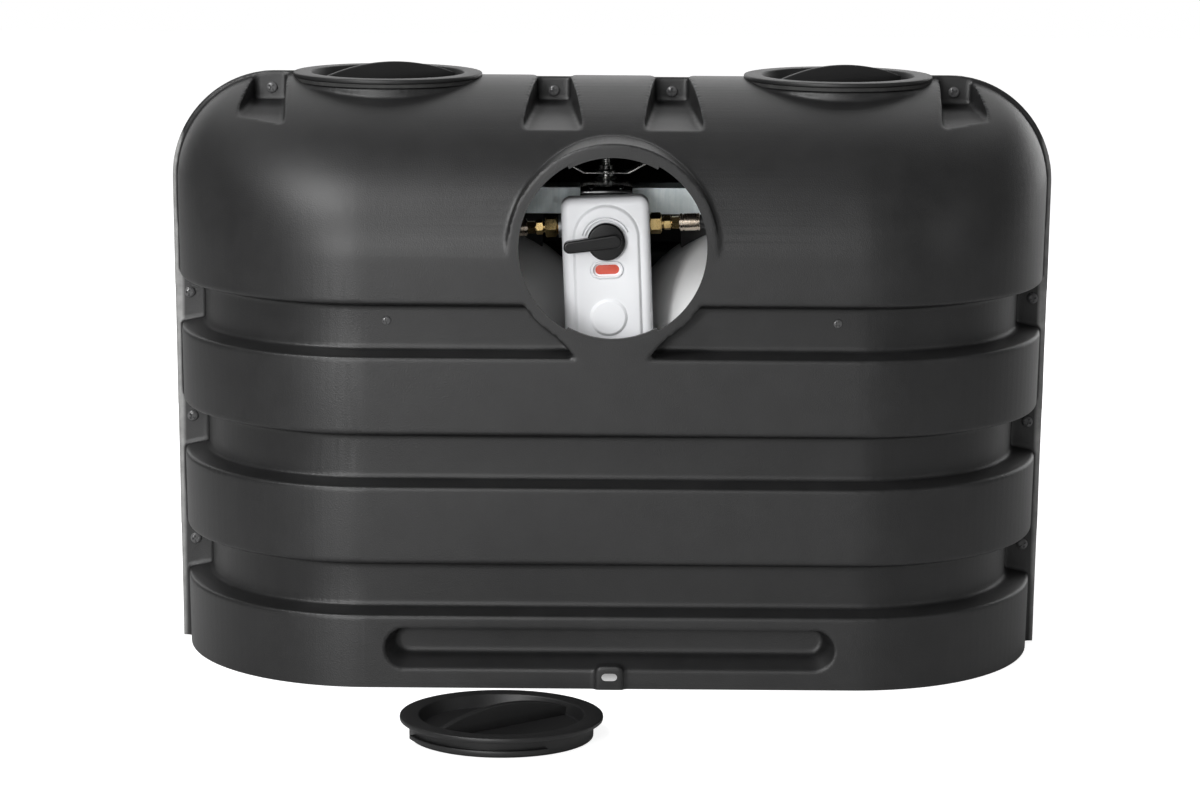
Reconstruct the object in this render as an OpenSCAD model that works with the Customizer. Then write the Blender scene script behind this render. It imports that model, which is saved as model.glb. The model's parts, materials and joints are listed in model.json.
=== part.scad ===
// Hard cover for twin gas cylinders, with the rack, cylinders, hold-down bar, changeover
// regulator and hoses that it encloses. Millimetres, +Z up, +X to the right, front at -Y.
// The origin is on the floor, under the middle of the seam between the two cover halves.

/* [Cylinders] */
// Outside diameter of a gas cylinder
cyl_d = 305; // [290:1:370]
// Gap between the two cylinders
cyl_gap = 35; // [28:1:60]
// Wall of a cylinder
cyl_wall = 2.6; // [2:0.1:4]
// Height of a cylinder from the tray to the top of its collar
cyl_h = 437; // [365:1:530]
// Height of the domed top and bottom of a cylinder
cyl_dome_h = 90; // [75:1:110]
// Outside radius of the collar round the valve
collar_r = 88; // [80:1:100]
// Height of the collar above the top of the dome
collar_above = 80; // [70:1:90]
// Sheet of the collar and the foot ring
collar_t = 2.5; // [2:0.5:4]
// Half angle of the opening in the collar
collar_gap_angle = 62; // [50:1:75]
// Outside radius of the foot ring
foot_r = 100; // [85:1:115]
// Space under the cylinder, above the tray
foot_clear = 8; // [5:1:15]

/* [Valves] */
// Turn of the valve outlet, outward from straight ahead
outlet_angle = 35; // [35:1:36]
// Radius of the outlet's thread
outlet_r = 16.6; // [14:0.1:18]
// Radius of the coupling nut
nut_r = 23; // [21:0.5:24]
// Distance from valve axis to the end of the hose's metal end
nipple_reach = 82; // [80:1:84]
// Radius over the lobes of the handwheel
wheel_r = 24; // [18:1:26]

/* [Tray and hold-down] */
// Thickness of the tray's plate
tray_t = 3; // [2:0.5:5]
// Radius of the round ends of the tray
tray_r = 140; // [125:1:148]
// Diameter of the threaded rod
rod_d = 9.5; // [8:0.5:12]
// Sideways place of the rod and of what it holds
rod_x = -5; // [-8:1:8]
// Drop of the hold-down bar's underside below the cylinders' crowns
bar_drop = 2.4; // [-2:0.1:3]
// Height of the bar's section
bar_h = 21.4; // [18:0.2:24]
// Width of the bar, front to back
bar_w = 38; // [32:1:44]
// Sheet of the bar and of the bracket
bar_t = 2.5; // [2:0.5:3]
// Width of the regulator's bracket
bracket_w = 42; // [38:1:48]
// Span of the wing nut, tip to tip
wing_span = 84; // [60:1:90]
// Radius of the tray's mounting holes
tray_hole_r = 4.5; // [3.5:0.5:6]

/* [Cover] */
// Wall of the cover
wall = 3; // [2.4:0.1:3.6]
// Thickness of each half's flange
flange_t = 3.5; // [3:0.5:5]
// Space beside the cylinders at the floor
side_clear = 1.1; // [1:0.1:6]
// Space in front of and behind the cylinders
front_clear = 8.6; // [8:0.1:14]
// Space from the collars to the top of the cover
top_clear = 28; // [26:1:40]
// Depth of the recessed bands
recess_depth = 20; // [16:0.5:22]
// Height of a recessed band
recess_h = 41; // [36:1:46]
// Height of the raised bands between them
band_h = 62; // [56:1:68]
// Height of the raised band at the floor
base_band_h = 58.5; // [54:0.5:62]
// Outward lean of the sides, floor to shoulder
side_taper = 8.3; // [6:0.1:10]
// Height of the rounded shoulder, front and back
dome_h = 128.6; // [110:0.1:130]
// Length of the rounded plan corners along the front
plan_corner = 154; // [130:1:160]
// Width of the rounded top corners
corner_w = 80; // [70:1:90]
// Height of the rounded top corners
corner_h = 84; // [76:1:92]
// How far the flange stands out at the floor
flange_lip = 7; // [5:0.5:9]
// How far the flange rises over the top corners
flange_rise = 3.1; // [2:0.1:5]
// Radius of the flange's screw holes
screw_hole_r = 2.6; // [2.3:0.1:3]

/* [Window and lids] */
// Radius of the window and of the two top openings
hole_r = 73.5; // [70:0.5:75]
// Radius inside the two bayonet lugs of an opening
lug_r = 71; // [68.5:0.5:72]
// Half angle of a bayonet lug
lug_half_angle = 29; // [24:1:32]
// Rise of the window's centre above the selector's axis
window_rise = 1.5; // [-1:0.5:4]
// Distance of each top opening from the middle
lid_x = 183.5; // [180:0.5:186]
// Radius of a lid's rim
lid_r = 76.9; // [76.6:0.1:77.4]
// Thickness of a lid's rim
lid_rim_t = 3.6; // [3:0.1:4.5]
// Depth of a lid, rim to the end of its skirt
lid_h = 16.5; // [15:0.5:18]
// Depth of the dish in a lid
dish_depth = 10; // [7:0.5:11]
// Radius of the dish in a lid
dish_r = 61.5; // [56:0.5:63]
// Rise of the grip above a lid's rim
grip_rise = 8; // [5:0.5:10]
// Thickness of the grip
grip_t = 5; // [4:0.5:7]
// Turn of the grip on the top lids
grip_angle = 32; // [0:1:60]
// Thickness of the lid gaskets
gasket_t = 3.3; // [2.5:0.1:4]

/* [Regulator] */
// Width of the regulator's cover
hood_w = 70; // [68:1:74]
// Height of the regulator's cover
hood_h = 130; // [126:1:134]
// Depth of the regulator's cover
hood_d = 28; // [26:1:32]
// Wall of the regulator's cover
hood_wall = 2.5; // [2:0.5:3]
// Drop of the selector's axis below the hold-down bar's underside
knob_drop = 8.1; // [7:0.1:10]
// Radius of the selector knob
knob_r = 15; // [13:0.5:16]
// Length of the selector's lever from its axis
lever_len = 34; // [28:1:36]
// Lean of the regulator on its bracket
lean = 2.4; // [0:0.1:3]
// Radius of the selector's spindle
spindle_r = 4; // [3:0.5:4.5]
// Radius of the diaphragm
diaphragm_r = 26; // [22:0.5:27]
// Radius of the tapped gas outlet
gas_outlet_r = 7.5; // [6.5:0.5:8.5]

/* [Hoses] */
// Outside diameter of a hose
hose_d = 10.8; // [9:0.1:12]
// Outside radius of the crimped ferrules
ferrule_r = 7; // [6.5:0.1:7.5]

/* [Hidden] */
$fn = 64;

// Running clearance of a turning fit, on the radius
run = 0.06;
// Gap between pieces that are seated on each other
seat = 0.05;
// Overshoot of a cut past the face that it opens
over = 1;
deg_steps = 9;

// ---- heights and places worked out from the driving dimensions ----
cyl_r = cyl_d / 2;
cyl_x = (cyl_d + cyl_gap) / 2;
collar_top = tray_t + cyl_h;
crown_z = collar_top - collar_above;
shoulder_z = crown_z - cyl_dome_h;
cyl_low = tray_t + foot_clear;
boss_z = crown_z + 8;
bar_z = crown_z - bar_drop;
knob_z = bar_z - knob_drop;
window_z = knob_z + window_rise;
outlet_z = crown_z + 32;
wheel_z = outlet_z + 27;
band_half = cyl_x + cyl_r + side_clear + wall + recess_depth;
half_depth = cyl_r + front_clear + wall + recess_depth;
cover_top = collar_top + top_clear;
dome_z = cover_top - dome_h;
corner_z = cover_top - corner_h;
corner_x = band_half + side_taper - corner_w;
plan_x = band_half - plan_corner;
recess_pitch = recess_h + band_h;
screw_edge = 12;
screw_lift = 3.5;
lid_top = cover_top + 2.8;
land_z = lid_top - lid_rim_t - gasket_t;
neck_wall = 3;
neck_r = hole_r + neck_wall;
lug_t = 3;
lug_sink = 0.3;
tab_drop = 0.5;
tab_t = 3.4;
tab_r = hole_r - 0.6;
skirt_r = lug_r - 1.4;
bar_half = cyl_x - collar_r - 2.5;
bar_top = bar_z + bar_h;
leaf_t = bar_t;
hood_y = -97;
hood_front = hood_y - hood_d;
panel_rise = 2.5;
panel_y = hood_front - panel_rise;
hood_top = 34;
body_back = -60;
inlet_y = -84;
inlet_z = 7.5;
inlet_x = -1.8;
hose_start = 77;
outlet_zl = -88;
chamber_z = -61;
indicator_z = -22.8;
indicator_y = hood_front + 10;

// Routes of the two hoses, from the regulator's ferrule to the valve's nipple
ROUTE_RIGHT = [[70, -84, 360], [85, -84, 361], [100, -88, 360], [114, -96, 359], [126, -105, 358],
    [138, -116, 357], [150, -126, 356], [162, -135, 357], [176, -141, 360], [191, -144, 364],
    [206, -142, 369], [218, -135, 375], [228, -124, 381], [232, -110, 386], [231, -95, 390],
    [226, -80, 392], [217, -67, 392]];
ROUTE_LEFT = [[-84, -84, 354], [-99, -84, 353], [-114, -88, 351], [-128, -95, 347], [-140, -104, 343],
    [-151, -114, 340], [-163, -124, 338], [-176, -132, 339], [-190, -138, 343], [-204, -140, 349],
    [-217, -138, 357], [-227, -132, 366], [-233, -121, 376], [-235, -108, 384], [-232, -94, 389],
    [-226, -80, 392], [-217, -67, 392]];

// ---- general helpers ----
module at_regulator() { translate([rod_x, 0, knob_z]) rotate([0, -lean, 0]) children(); }

// Turns a shape that stands on Z so that it points to the front, from y
module facing_front(y) { translate([0, y, 0]) rotate([90, 0, 0]) children(); }

module ring(r_out, r_in, h) {
    difference() {
        cylinder(r = r_out, h = h);
        translate([0, 0, -over]) cylinder(r = r_in, h = h + 2 * over);
    }
}

// Hexagonal prism by its width across flats
module hexagon(flats, h) { cylinder(r = flats / 2 / cos(30), h = h, $fn = 6); }

// Stretched circle, lying in the XY plane
module obround(length, width) {
    square([length - width, width], center = true);
    for (s = [-1, 1]) translate([s * (length - width) / 2, 0]) circle(d = width);
}

module rounded_rect(w, h, r) {
    square([w - 2 * r, h], center = true);
    square([w, h - 2 * r], center = true);
    for (x = [-1, 1], y = [-1, 1]) translate([x * (w / 2 - r), y * (h / 2 - r)]) circle(r = r);
}

// Closed skin over a stack of rings that hold the same number of points
module loft(rings) {
    n = len(rings[0]);
    last = len(rings) - 1;
    polyhedron(
        points = [for (r = rings) each r],
        faces = concat(
            [[for (i = [n - 1:-1:0]) i]],
            [for (k = [0:last - 1], i = [0:n - 1])
                let(a = k * n + i, b = k * n + (i + 1) % n) [a, b, b + n]],
            [for (k = [0:last - 1], i = [0:n - 1])
                let(a = k * n + i, b = k * n + (i + 1) % n) [a, b + n, a + n]],
            [[for (i = [0:n - 1]) last * n + i]]),
        convexity = 10);
}

// Sector of a disc, for lugs, tabs and openings
module sector(r, half_angle, turn) {
    polygon(concat([[0, 0]],
        [for (i = [-4:4]) let(a = turn + half_angle * i / 4)
            [r * 1.3 * cos(a), r * 1.3 * sin(a)]]));
}

// ---- rack: tray, cylinders, hold-down ----
module base_tray() {
    color("dimgray") difference() {
        union() {
            linear_extrude(tray_t) difference() {
                union() {
                    for (s = [-1, 1]) translate([s * cyl_x, 0]) circle(r = tray_r, $fn = 96);
                    square([2 * cyl_x, 2 * tray_r - 40], center = true);
                }
                for (x = [-1, 1], y = [-1, 1]) translate([45 * x, 100 * y]) circle(r = tray_hole_r);
            }
            // raised rings that keep the foot rings in place
            for (s = [-1, 1]) translate([s * cyl_x, 0, tray_t])
                ring(foot_r + 6, foot_r + 1.5, 8);
        }
        // drain hole under each cylinder
        for (s = [-1, 1]) translate([s * cyl_x, 0, -over]) cylinder(r = 20, h = tray_t + 2 * over);
    }
}

module centre_rod() {
    color("silver") translate([rod_x, 0, tray_t]) cylinder(d = rod_d, h = bar_top + 25 - tray_t);
}

module rod_base_nut() {
    color("gray") translate([rod_x, 0, tray_t]) difference() {
        hexagon(17, 9);
        translate([0, 0, -over]) cylinder(d = rod_d + 2 * seat, h = 9 + 2 * over);
    }
}

module hold_down_bar() {
    color("lightsteelblue") difference() {
        translate([-bar_half, -bar_w / 2, bar_z]) cube([2 * bar_half, bar_w, bar_h]);
        translate([-bar_half - over, -bar_w / 2 + bar_t, bar_z - over])
            cube([2 * bar_half + 2 * over, bar_w - 2 * bar_t, bar_h - bar_t + over]);
        translate([rod_x, 0, bar_z]) cylinder(d = rod_d + 1, h = bar_h + over);
    }
}

// Outer height of the cylinder's dome at a radius
function dome_at(r, grow = 0) =
    shoulder_z + (cyl_dome_h + grow) * sqrt(max(0, 1 - pow(r / (cyl_r + grow), 2)));

module vessel_solid(grow) {
    r = cyl_r + grow;
    top = [for (i = [0:12]) let(a = 90 * i / 12)
        [r * cos(a), shoulder_z + (cyl_dome_h + grow) * sin(a)]];
    bottom = [for (i = [12:-1:0]) let(a = 90 * i / 12)
        [r * cos(a), cyl_low + cyl_dome_h - (cyl_dome_h + grow) * sin(a)]];
    rotate_extrude($fn = 96) polygon(concat(bottom, top));
}

module bar_feet() {
    foot_l = 23;
    color("#222222") for (s = [-1, 1]) difference() {
        translate([s * (bar_half - foot_l / 2) - foot_l / 2, -bar_w / 2 + bar_t + seat, dome_at(cyl_x - bar_half + foot_l)])
            cube([foot_l, bar_w - 2 * bar_t - 2 * seat,
                bar_top - bar_t - seat - dome_at(cyl_x - bar_half + foot_l)]);
        translate([s * cyl_x, 0, 0]) vessel_solid(0.3);
    }
}

module regulator_bracket() {
    leaf_back = bar_w / 2;
    color("#1c1c1c") difference() {
        union() {
            translate([rod_x - bracket_w / 2, body_back, bar_top])
                cube([bracket_w, leaf_back - body_back, leaf_t]);
            translate([rod_x - bracket_w / 2, body_back, knob_z - 50])
                cube([bracket_w, leaf_t, bar_top + leaf_t - knob_z + 50]);
            // pressed gussets in the bend
            for (s = [-1, 1]) translate([rod_x + s * 12, body_back + leaf_t, bar_top])
                rotate([45, 0, 0]) translate([-1.5, -4, -4]) cube([3, 8, 8]);
        }
        translate([rod_x, 0, bar_top - over]) cylinder(d = rod_d + 1, h = leaf_t + 2 * over);
        at_regulator() for (s = [-1, 1]) translate([12 * s, 0, -22])
            facing_front(body_back + leaf_t + over) cylinder(r = 2.3, h = leaf_t + 2 * over);
    }
}

module bracket_screws() {
    color("silver") at_regulator() for (s = [-1, 1]) translate([12 * s, 0, -22]) {
        facing_front(body_back + leaf_t + 3) cylinder(r = 4, h = 3);
        facing_front(body_back + leaf_t) cylinder(r = 2.1, h = leaf_t + 9);
    }
}

module rod_washer() {
    color("gray") translate([rod_x, 0, bar_top + leaf_t]) ring(12.5, rod_d / 2 + 0.4, 2);
}

module wing_nut() {
    sheet = 1.4;
    flat = 18;
    bend = 38;
    rise = (wing_span / 2 - flat) * tan(bend);
    half = [[flat, 0], [wing_span / 2, rise], [wing_span / 2 - sheet * sin(bend), rise + sheet * cos(bend)],
        [flat - sheet * tan(bend / 2), sheet]];
    z0 = bar_top + leaf_t + 2 + seat;
    color("silver") translate([rod_x, 0, z0]) difference() {
        union() {
            cylinder(r = 12.5, h = 10.5);
            facing_front(11) linear_extrude(22)
                polygon(concat(half, [for (i = [3:-1:0]) [-half[i][0], half[i][1]]]));
        }
        translate([0, 0, -over]) cylinder(d = rod_d + 2 * run, h = 20);
    }
}

module cylinder_vessel(s) {
    r_in = cyl_r - cyl_wall;
    neck = 9.6;
    a_neck = acos(neck / r_in);
    outer_top = [for (i = [0:11]) let(a = acos(20 / cyl_r) * i / 11)
        [cyl_r * cos(a), shoulder_z + cyl_dome_h * sin(a)]];
    outer_low = [for (i = [12:-1:0]) let(a = 90 * i / 12)
        [cyl_r * cos(a), cyl_low + cyl_dome_h - cyl_dome_h * sin(a)]];
    inner_top = [for (i = [11:-1:0]) let(a = a_neck * i / 11)
        [r_in * cos(a), shoulder_z + (cyl_dome_h - cyl_wall) * sin(a)]];
    inner_low = [for (i = [0:12]) let(a = 90 * i / 12)
        [r_in * cos(a), cyl_low + cyl_dome_h - (cyl_dome_h - cyl_wall) * sin(a)]];
    translate([s * cyl_x, 0, 0]) rotate_extrude($fn = 96)
        polygon(concat(outer_low, outer_top, [[20, boss_z], [neck, boss_z]], inner_top, inner_low));
}
module cylinder_left() { color("white") cylinder_vessel(-1); }
module cylinder_right() { color("white") cylinder_vessel(1); }

module collar(s) {
    z0 = dome_at(collar_r - collar_t) + seat;
    h = collar_top - z0;
    slot_r = 14;
    translate([s * cyl_x, 0, z0]) difference() {
        ring(collar_r, collar_r - collar_t, h);
        // opening for the valve's outlet, above a low sill
        translate([0, 0, 16]) linear_extrude(h)
            sector(collar_r, collar_gap_angle, -90 + s * outlet_angle);
        // two hand holes at the back
        for (t = [-38, 38]) rotate([0, 0, 90 + t]) translate([0, 0, h - 28])
            rotate([0, 90, 0]) linear_extrude(collar_r + over)
            rotate([0, 0, 90]) obround(74, 2 * slot_r);
    }
}
module collar_left() { color("white") collar(-1); }
module collar_right() { color("white") collar(1); }

module foot_ring(s) {
    r_in = foot_r - collar_t;
    top = cyl_low + cyl_dome_h * (1 - sqrt(1 - pow(r_in / cyl_r, 2))) - seat;
    translate([s * cyl_x, 0, tray_t]) difference() {
        ring(foot_r, r_in, top - tray_t);
        for (a = [0:90:270]) rotate([0, 0, a + 45]) translate([foot_r, 0, 0])
            rotate([0, 90, 0]) cylinder(r = 7, h = 20, center = true);
    }
}
module foot_ring_left() { color("white") foot_ring(-1); }
module foot_ring_right() { color("white") foot_ring(1); }

// Places a shape so that its Z runs out along the valve's outlet
module at_outlet(s) {
    translate([s * cyl_x, 0, outlet_z]) rotate([0, 0, s * outlet_angle]) rotate([90, 0, 0]) children();
}

module valve(s) {
    difference() {
        union() {
            translate([s * cyl_x, 0, 0]) {
                translate([0, 0, boss_z - 20]) cylinder(r = 9.5, h = 21);
                translate([0, 0, boss_z + seat]) hexagon(32, 10);
                translate([0, 0, boss_z + 5]) cylinder(r = 15, h = outlet_z + 14 - boss_z - 5);
                translate([0, 0, outlet_z]) cylinder(r = 10, h = 21);
                translate([0, 0, outlet_z + 20]) cylinder(r = spindle_r, h = wheel_z - outlet_z);
            }
            at_outlet(s) cylinder(r = 13.5, h = 24);
            at_outlet(s) translate([0, 0, 20]) cylinder(r = outlet_r, h = 24);
        }
        at_outlet(s) translate([0, 0, 8]) cylinder(r = 6.2, h = 40);
    }
}
module valve_left() { color("#b5893c") valve(-1); }
module valve_right() { color("#b5893c") valve(1); }

module handwheel(s) {
    color("#1a1a1a") translate([s * cyl_x, 0, wheel_z]) difference() {
        union() {
            linear_extrude(13) hull()
                for (a = [0:120:240]) rotate(a + 30) translate([wheel_r - 7, 0]) circle(r = 7, $fn = 32);
            cylinder(r = 10, h = 15);
        }
        translate([0, 0, -over]) cylinder(r = spindle_r + run, h = 20);
    }
}
module handwheel_left() { handwheel(-1); }
module handwheel_right() { handwheel(1); }

module coupling_nut(s) {
    nut_from = 26;
    nut_len = 31;
    flutes = 18;
    color("#1a1a1a") at_outlet(s) translate([0, 0, nut_from]) difference() {
        union() {
            cylinder(r = nut_r - 2, h = nut_len);
            // fluted grip
            translate([0, 0, 1]) linear_extrude(nut_len - 7)
                polygon([for (i = [0:2 * flutes - 1]) let(a = 180 * i / flutes, r = i % 2 == 0 ? nut_r : nut_r - 1.6)
                    [r * cos(a), r * sin(a)]]);
        }
        translate([0, 0, -over]) cylinder(r = outlet_r + run, h = nut_len - 8 + over);
        translate([0, 0, -over]) cylinder(r = 7 + run, h = nut_len + 2 * over);
    }
}
module coupling_nut_left() { coupling_nut(-1); }
module coupling_nut_right() { coupling_nut(1); }

module hose_nipple(s) {
    color("#c9a04a") at_outlet(s) difference() {
        union() {
            translate([0, 0, 36]) cylinder(r = 5.9, h = 30);
            translate([0, 0, 44 + seat]) cylinder(r = 12, h = 4.5);
            translate([0, 0, 48]) cylinder(r = 7, h = 12);
            translate([0, 0, 60]) cylinder(r = ferrule_r, h = nipple_reach - 60);
        }
        translate([0, 0, 35]) cylinder(r = 2.6, h = 40);
    }
}
module hose_nipple_left() { hose_nipple(-1); }
module hose_nipple_right() { hose_nipple(1); }

// ---- hoses ----
function unit(v) = v / norm(v);
function along(route, i) =
    i == 0 ? unit([for (k = [0:2]) -3 * route[0][k] + 4 * route[1][k] - route[2][k]])
    : i == len(route) - 1 ? unit([for (k = [0:2]) 3 * route[i][k] - 4 * route[i - 1][k] + route[i - 2][k]])
    : unit(route[i + 1] - route[i - 1]);
function sweep_ring(route, i, r, sides) =
    let(t = along(route, i), a = unit(cross([0, 0, 1], t)), b = cross(t, a))
    [for (k = [0:sides - 1]) let(q = 360 * k / sides) route[i] + r * (cos(q) * a + sin(q) * b)];

module hose(route) {
    color("#141414") loft([for (i = [0:len(route) - 1]) sweep_ring(route, i, hose_d / 2, 12)]);
}
module hose_left() { hose(ROUTE_LEFT); }
module hose_right() { hose(ROUTE_RIGHT); }

// ---- regulator ----
// Places a shape so that its Z runs outward along the inlet axis of one side
module at_inlet(s) {
    at_regulator() translate([inlet_x, inlet_y, inlet_z]) rotate([0, s * 90, 0]) children();
}

module ferrule(s) {
    color("#b08a5a") at_inlet(s) difference() {
        union() {
            translate([0, 0, 51]) cylinder(r = 3.2, h = 8);
            translate([0, 0, 56.8]) rotate(30) hexagon(10.5, 3.8);
            translate([0, 0, 60.2]) cylinder(r = ferrule_r, h = hose_start - 60.2);
        }
        translate([0, 0, 50]) cylinder(r = 2.2, h = 20);
    }
}
module ferrule_left() { ferrule(-1); }
module ferrule_right() { ferrule(1); }

module flare_nut(s) {
    color("#c9a04a") at_inlet(s) difference() {
        union() {
            translate([0, 0, 48.3]) hexagon(10.5, 5.6);
            translate([0, 0, 43]) cylinder(r = 4.4, h = 5.4);
        }
        translate([0, 0, 42]) cylinder(r = 3.25, h = 20);
    }
}
module flare_nut_left() { flare_nut(-1); }
module flare_nut_right() { flare_nut(1); }

module inlet_fitting(s) {
    color("#c9a04a") at_inlet(s) difference() {
        union() {
            translate([0, 0, 24]) cylinder(r = 5, h = 14);
            translate([0, 0, 37.2]) rotate(s > 0 ? 0 : 20) hexagon(15, 9.3);
        }
        translate([0, 0, 23]) cylinder(r = 2.6, h = 30);
        translate([0, 0, 42.5]) cylinder(r = 4.45, h = 10);
    }
}
module inlet_fitting_left() { inlet_fitting(-1); }
module inlet_fitting_right() { inlet_fitting(1); }

post_spots = [[-21, 19.5], [21, 19.5], [-21, -30], [21, -30]];

module regulator_body() {
    body_w = 52;
    body_top = 25;
    boss_r = 9;
    color("silver") at_regulator() difference() {
        union() {
            translate([-body_w / 2, hood_y, chamber_z]) cube([body_w, body_back - hood_y, body_top - chamber_z]);
            translate([0, 0, chamber_z]) facing_front(body_back) cylinder(r = body_w / 2, h = body_back - hood_y);
            // inlet bosses
            translate([inlet_x - 36, inlet_y, inlet_z]) rotate([0, 90, 0]) cylinder(r = boss_r, h = 72);
            // outlet neck
            translate([0, -79, outlet_zl - 16]) cylinder(r = 12, h = 24);
            // ears that carry the indicator
            for (s = [-1, 1]) translate([s * 12.3 - 1.2, indicator_y - 3, indicator_z - 5])
                cube([2.4, hood_y - indicator_y + 4, 10]);
        }
        // inlet bores
        for (s = [-1, 1]) translate([inlet_x, inlet_y, inlet_z]) rotate([0, s * 90, 0])
            translate([0, 0, 23.5]) cylinder(r = 5.04, h = 20);
        translate([inlet_x - 30, inlet_y, inlet_z]) rotate([0, 90, 0]) cylinder(r = 2.5, h = 60);
        // spindle bore and diaphragm chamber
        facing_front(hood_y + 14) cylinder(r = spindle_r + run, h = 20);
        translate([0, 0, chamber_z]) facing_front(hood_y + 15) cylinder(r = 22, h = 20);
        // tapped gas outlet
        translate([0, -79, outlet_zl - 17]) cylinder(r = gas_outlet_r, h = 15);
        translate([0, -79, outlet_zl - 10]) cylinder(r = 4, h = 30);
        // holes for the cover's screws and the bracket's screws
        for (p = post_spots) translate([p[0], 0, p[1]]) {
            facing_front(body_back + over) cylinder(r = 3.4, h = 21);
            facing_front(body_back + over) cylinder(r = 1.8, h = 60);
        }
        for (s = [-1, 1]) translate([12 * s, 0, -22]) facing_front(body_back + over) cylinder(r = 2.15, h = 11);
        // bores for the indicator's pins
        translate([-20, indicator_y, indicator_z]) rotate([0, 90, 0]) cylinder(r = 1.5 + run, h = 40);
    }
}

module diaphragm() {
    color("#333333") at_regulator() translate([0, 0, chamber_z])
        facing_front(hood_y - seat) cylinder(r = diaphragm_r, h = 1.5);
}

module regulator_bonnet() {
    color("silver") at_regulator() translate([0, 0, chamber_z]) facing_front(hood_y - 1.5 - 2 * seat)
        difference() {
            union() {
                cylinder(r = diaphragm_r, h = 3);
                cylinder(r = 12, h = 19);
            }
            translate([0, 0, -over]) cylinder(r = 9.1, h = 30);
        }
}

module main_spring() {
    color("silver") at_regulator() translate([0, 0, chamber_z])
        facing_front(hood_y - 1.5 - 2 * seat) ring(8, 6, 13);
}

module spring_cap() {
    color("#222222") at_regulator() translate([0, 0, chamber_z])
        facing_front(hood_y - 1.5 - 13 - 3 * seat) cylinder(r = 9, h = 4);
}

// Outline of the regulator's cover, seen from the front, grown or shrunk
module hood_outline(grow) {
    translate([0, hood_top - hood_h / 2])
        rounded_rect(hood_w + 2 * grow, hood_h + 2 * grow, 7 + grow);
}

module regulator_cover() {
    color("gainsboro") at_regulator() difference() {
        union() {
            facing_front(hood_y) linear_extrude(hood_d) hood_outline(0);
            // raised arch-topped panel
            facing_front(hood_front) linear_extrude(panel_rise) {
                translate([0, 2]) circle(r = 25.5);
                translate([-25.5, hood_top - hood_h + 8]) square([51, hood_h - hood_top - 6]);
            }
            // round boss over the spring
            translate([0, 0, chamber_z]) facing_front(panel_y) cylinder(r = 15.2, h = 1.5);
            // bezel of the indicator
            translate([0, 0, indicator_z]) facing_front(panel_y) linear_extrude(0.8) obround(25, 13.4);
        }
        // hollow, round the screw posts
        facing_front(hood_y + over) linear_extrude(hood_d - hood_wall + over) difference() {
            hood_outline(-hood_wall);
            for (p = post_spots) translate(p) circle(r = 3.8);
        }
        for (p = post_spots) translate([p[0], 0, p[1]]) facing_front(hood_y + over) cylinder(r = 1.5, h = 14);
        facing_front(hood_front + 5) cylinder(r = spindle_r + 1, h = 20);
        translate([0, 0, indicator_z]) facing_front(hood_front + 5) linear_extrude(20) obround(19, 7.5);
    }
}

module cover_screws() {
    color("silver") at_regulator() for (p = post_spots) translate([p[0], 0, p[1]]) {
        facing_front(body_back - 17) cylinder(r = 3, h = 3);
        facing_front(body_back - 20) cylinder(r = 1.45, h = 28);
    }
}

module selector_spindle() {
    color("#b5893c") at_regulator() {
        facing_front(hood_y + 13) cylinder(r = spindle_r, h = 13 + hood_d + panel_rise + 4);
        // cam that opens one inlet or the other
        facing_front(hood_y - 3) cylinder(r = 7, h = 6);
        translate([0, 0, 0]) facing_front(hood_y - 3) translate([0, 4, 0]) cylinder(r = 5, h = 6);
    }
}

module selector_knob() {
    knob_y = panel_y - 0.6;
    color("#161616") at_regulator() difference() {
        union() {
            facing_front(knob_y) cylinder(r = knob_r, h = 6);
            facing_front(knob_y) rotate(180 + 5.5) linear_extrude(12)
                translate([(lever_len - knob_r + 1.5) / 2, 0]) obround(lever_len + knob_r - 1.5, 9.8);
        }
        facing_front(knob_y + over) cylinder(r = spindle_r + 0.02, h = 4 + over);
    }
}

module indicator_drum() {
    color("red") at_regulator() translate([0, indicator_y, indicator_z]) rotate([0, 90, 0]) {
        cylinder(r = 4.8, h = 21, center = true);
        cylinder(r = 1.5, h = 28, center = true);
    }
}

module indicator_lens() {
    color([0.9, 0.9, 0.9, 0.5]) at_regulator() translate([0, 0, indicator_z])
        facing_front(panel_y + 1.5) linear_extrude(2.1) obround(18.9, 7.4);
}

// ---- cover ----
// Half width and depth of the cover's body at height z, set in by o for the inner face
function body_half(z, o) = z <= corner_z
    ? band_half + side_taper * z / corner_z - o
    : corner_x + (corner_w - o) * sqrt(max(0, 1 - pow((z - corner_z) / (corner_h - o), 2)));
function body_depth(z, o) = z <= dome_z
    ? half_depth - o
    : (half_depth - o) * sqrt(max(0, 1 - pow((z - dome_z) / (dome_h - o), 2)));

// One horizontal outline of a cover half, closed along the seam; reach carries it past the seam
function body_ring(z, o, inset, reach) =
    let(a = body_half(z, o) - plan_x - inset, b = max(0.4, body_depth(z, o) - inset),
        corner = [for (i = [0:deg_steps]) let(t = 90 * i / deg_steps)
            [plan_x + a * cos(t), -b * sin(t), z]])
    concat([[plan_x + a, reach, z]], corner,
        [for (i = [deg_steps:-1:0]) [-corner[i][0], corner[i][1], z]],
        [[-plan_x - a, reach, z]]);

// Heights and insets of the outlines: raised bands, recessed bands, then the shoulder
function recess_low(i) = base_band_h + i * recess_pitch;
function ledges(o) = [for (i = [0:2]) each [
    [recess_low(i) - 3 - o, 0], [recess_low(i) - o, 3],
    [recess_low(i) + 2 - o, recess_depth - 3], [recess_low(i) + 5 - o, recess_depth],
    [recess_low(i) + recess_h - 5 + o, recess_depth], [recess_low(i) + recess_h - 2 + o, recess_depth - 3],
    [recess_low(i) + recess_h + o, 3], [recess_low(i) + recess_h + 3 + o, 0]]];
function shoulder_levels(o) = concat(
    [for (i = [0:9]) [dome_z + (dome_h - o) * sin(9 * i), 0]], [[cover_top - o, 0]]);

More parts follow.
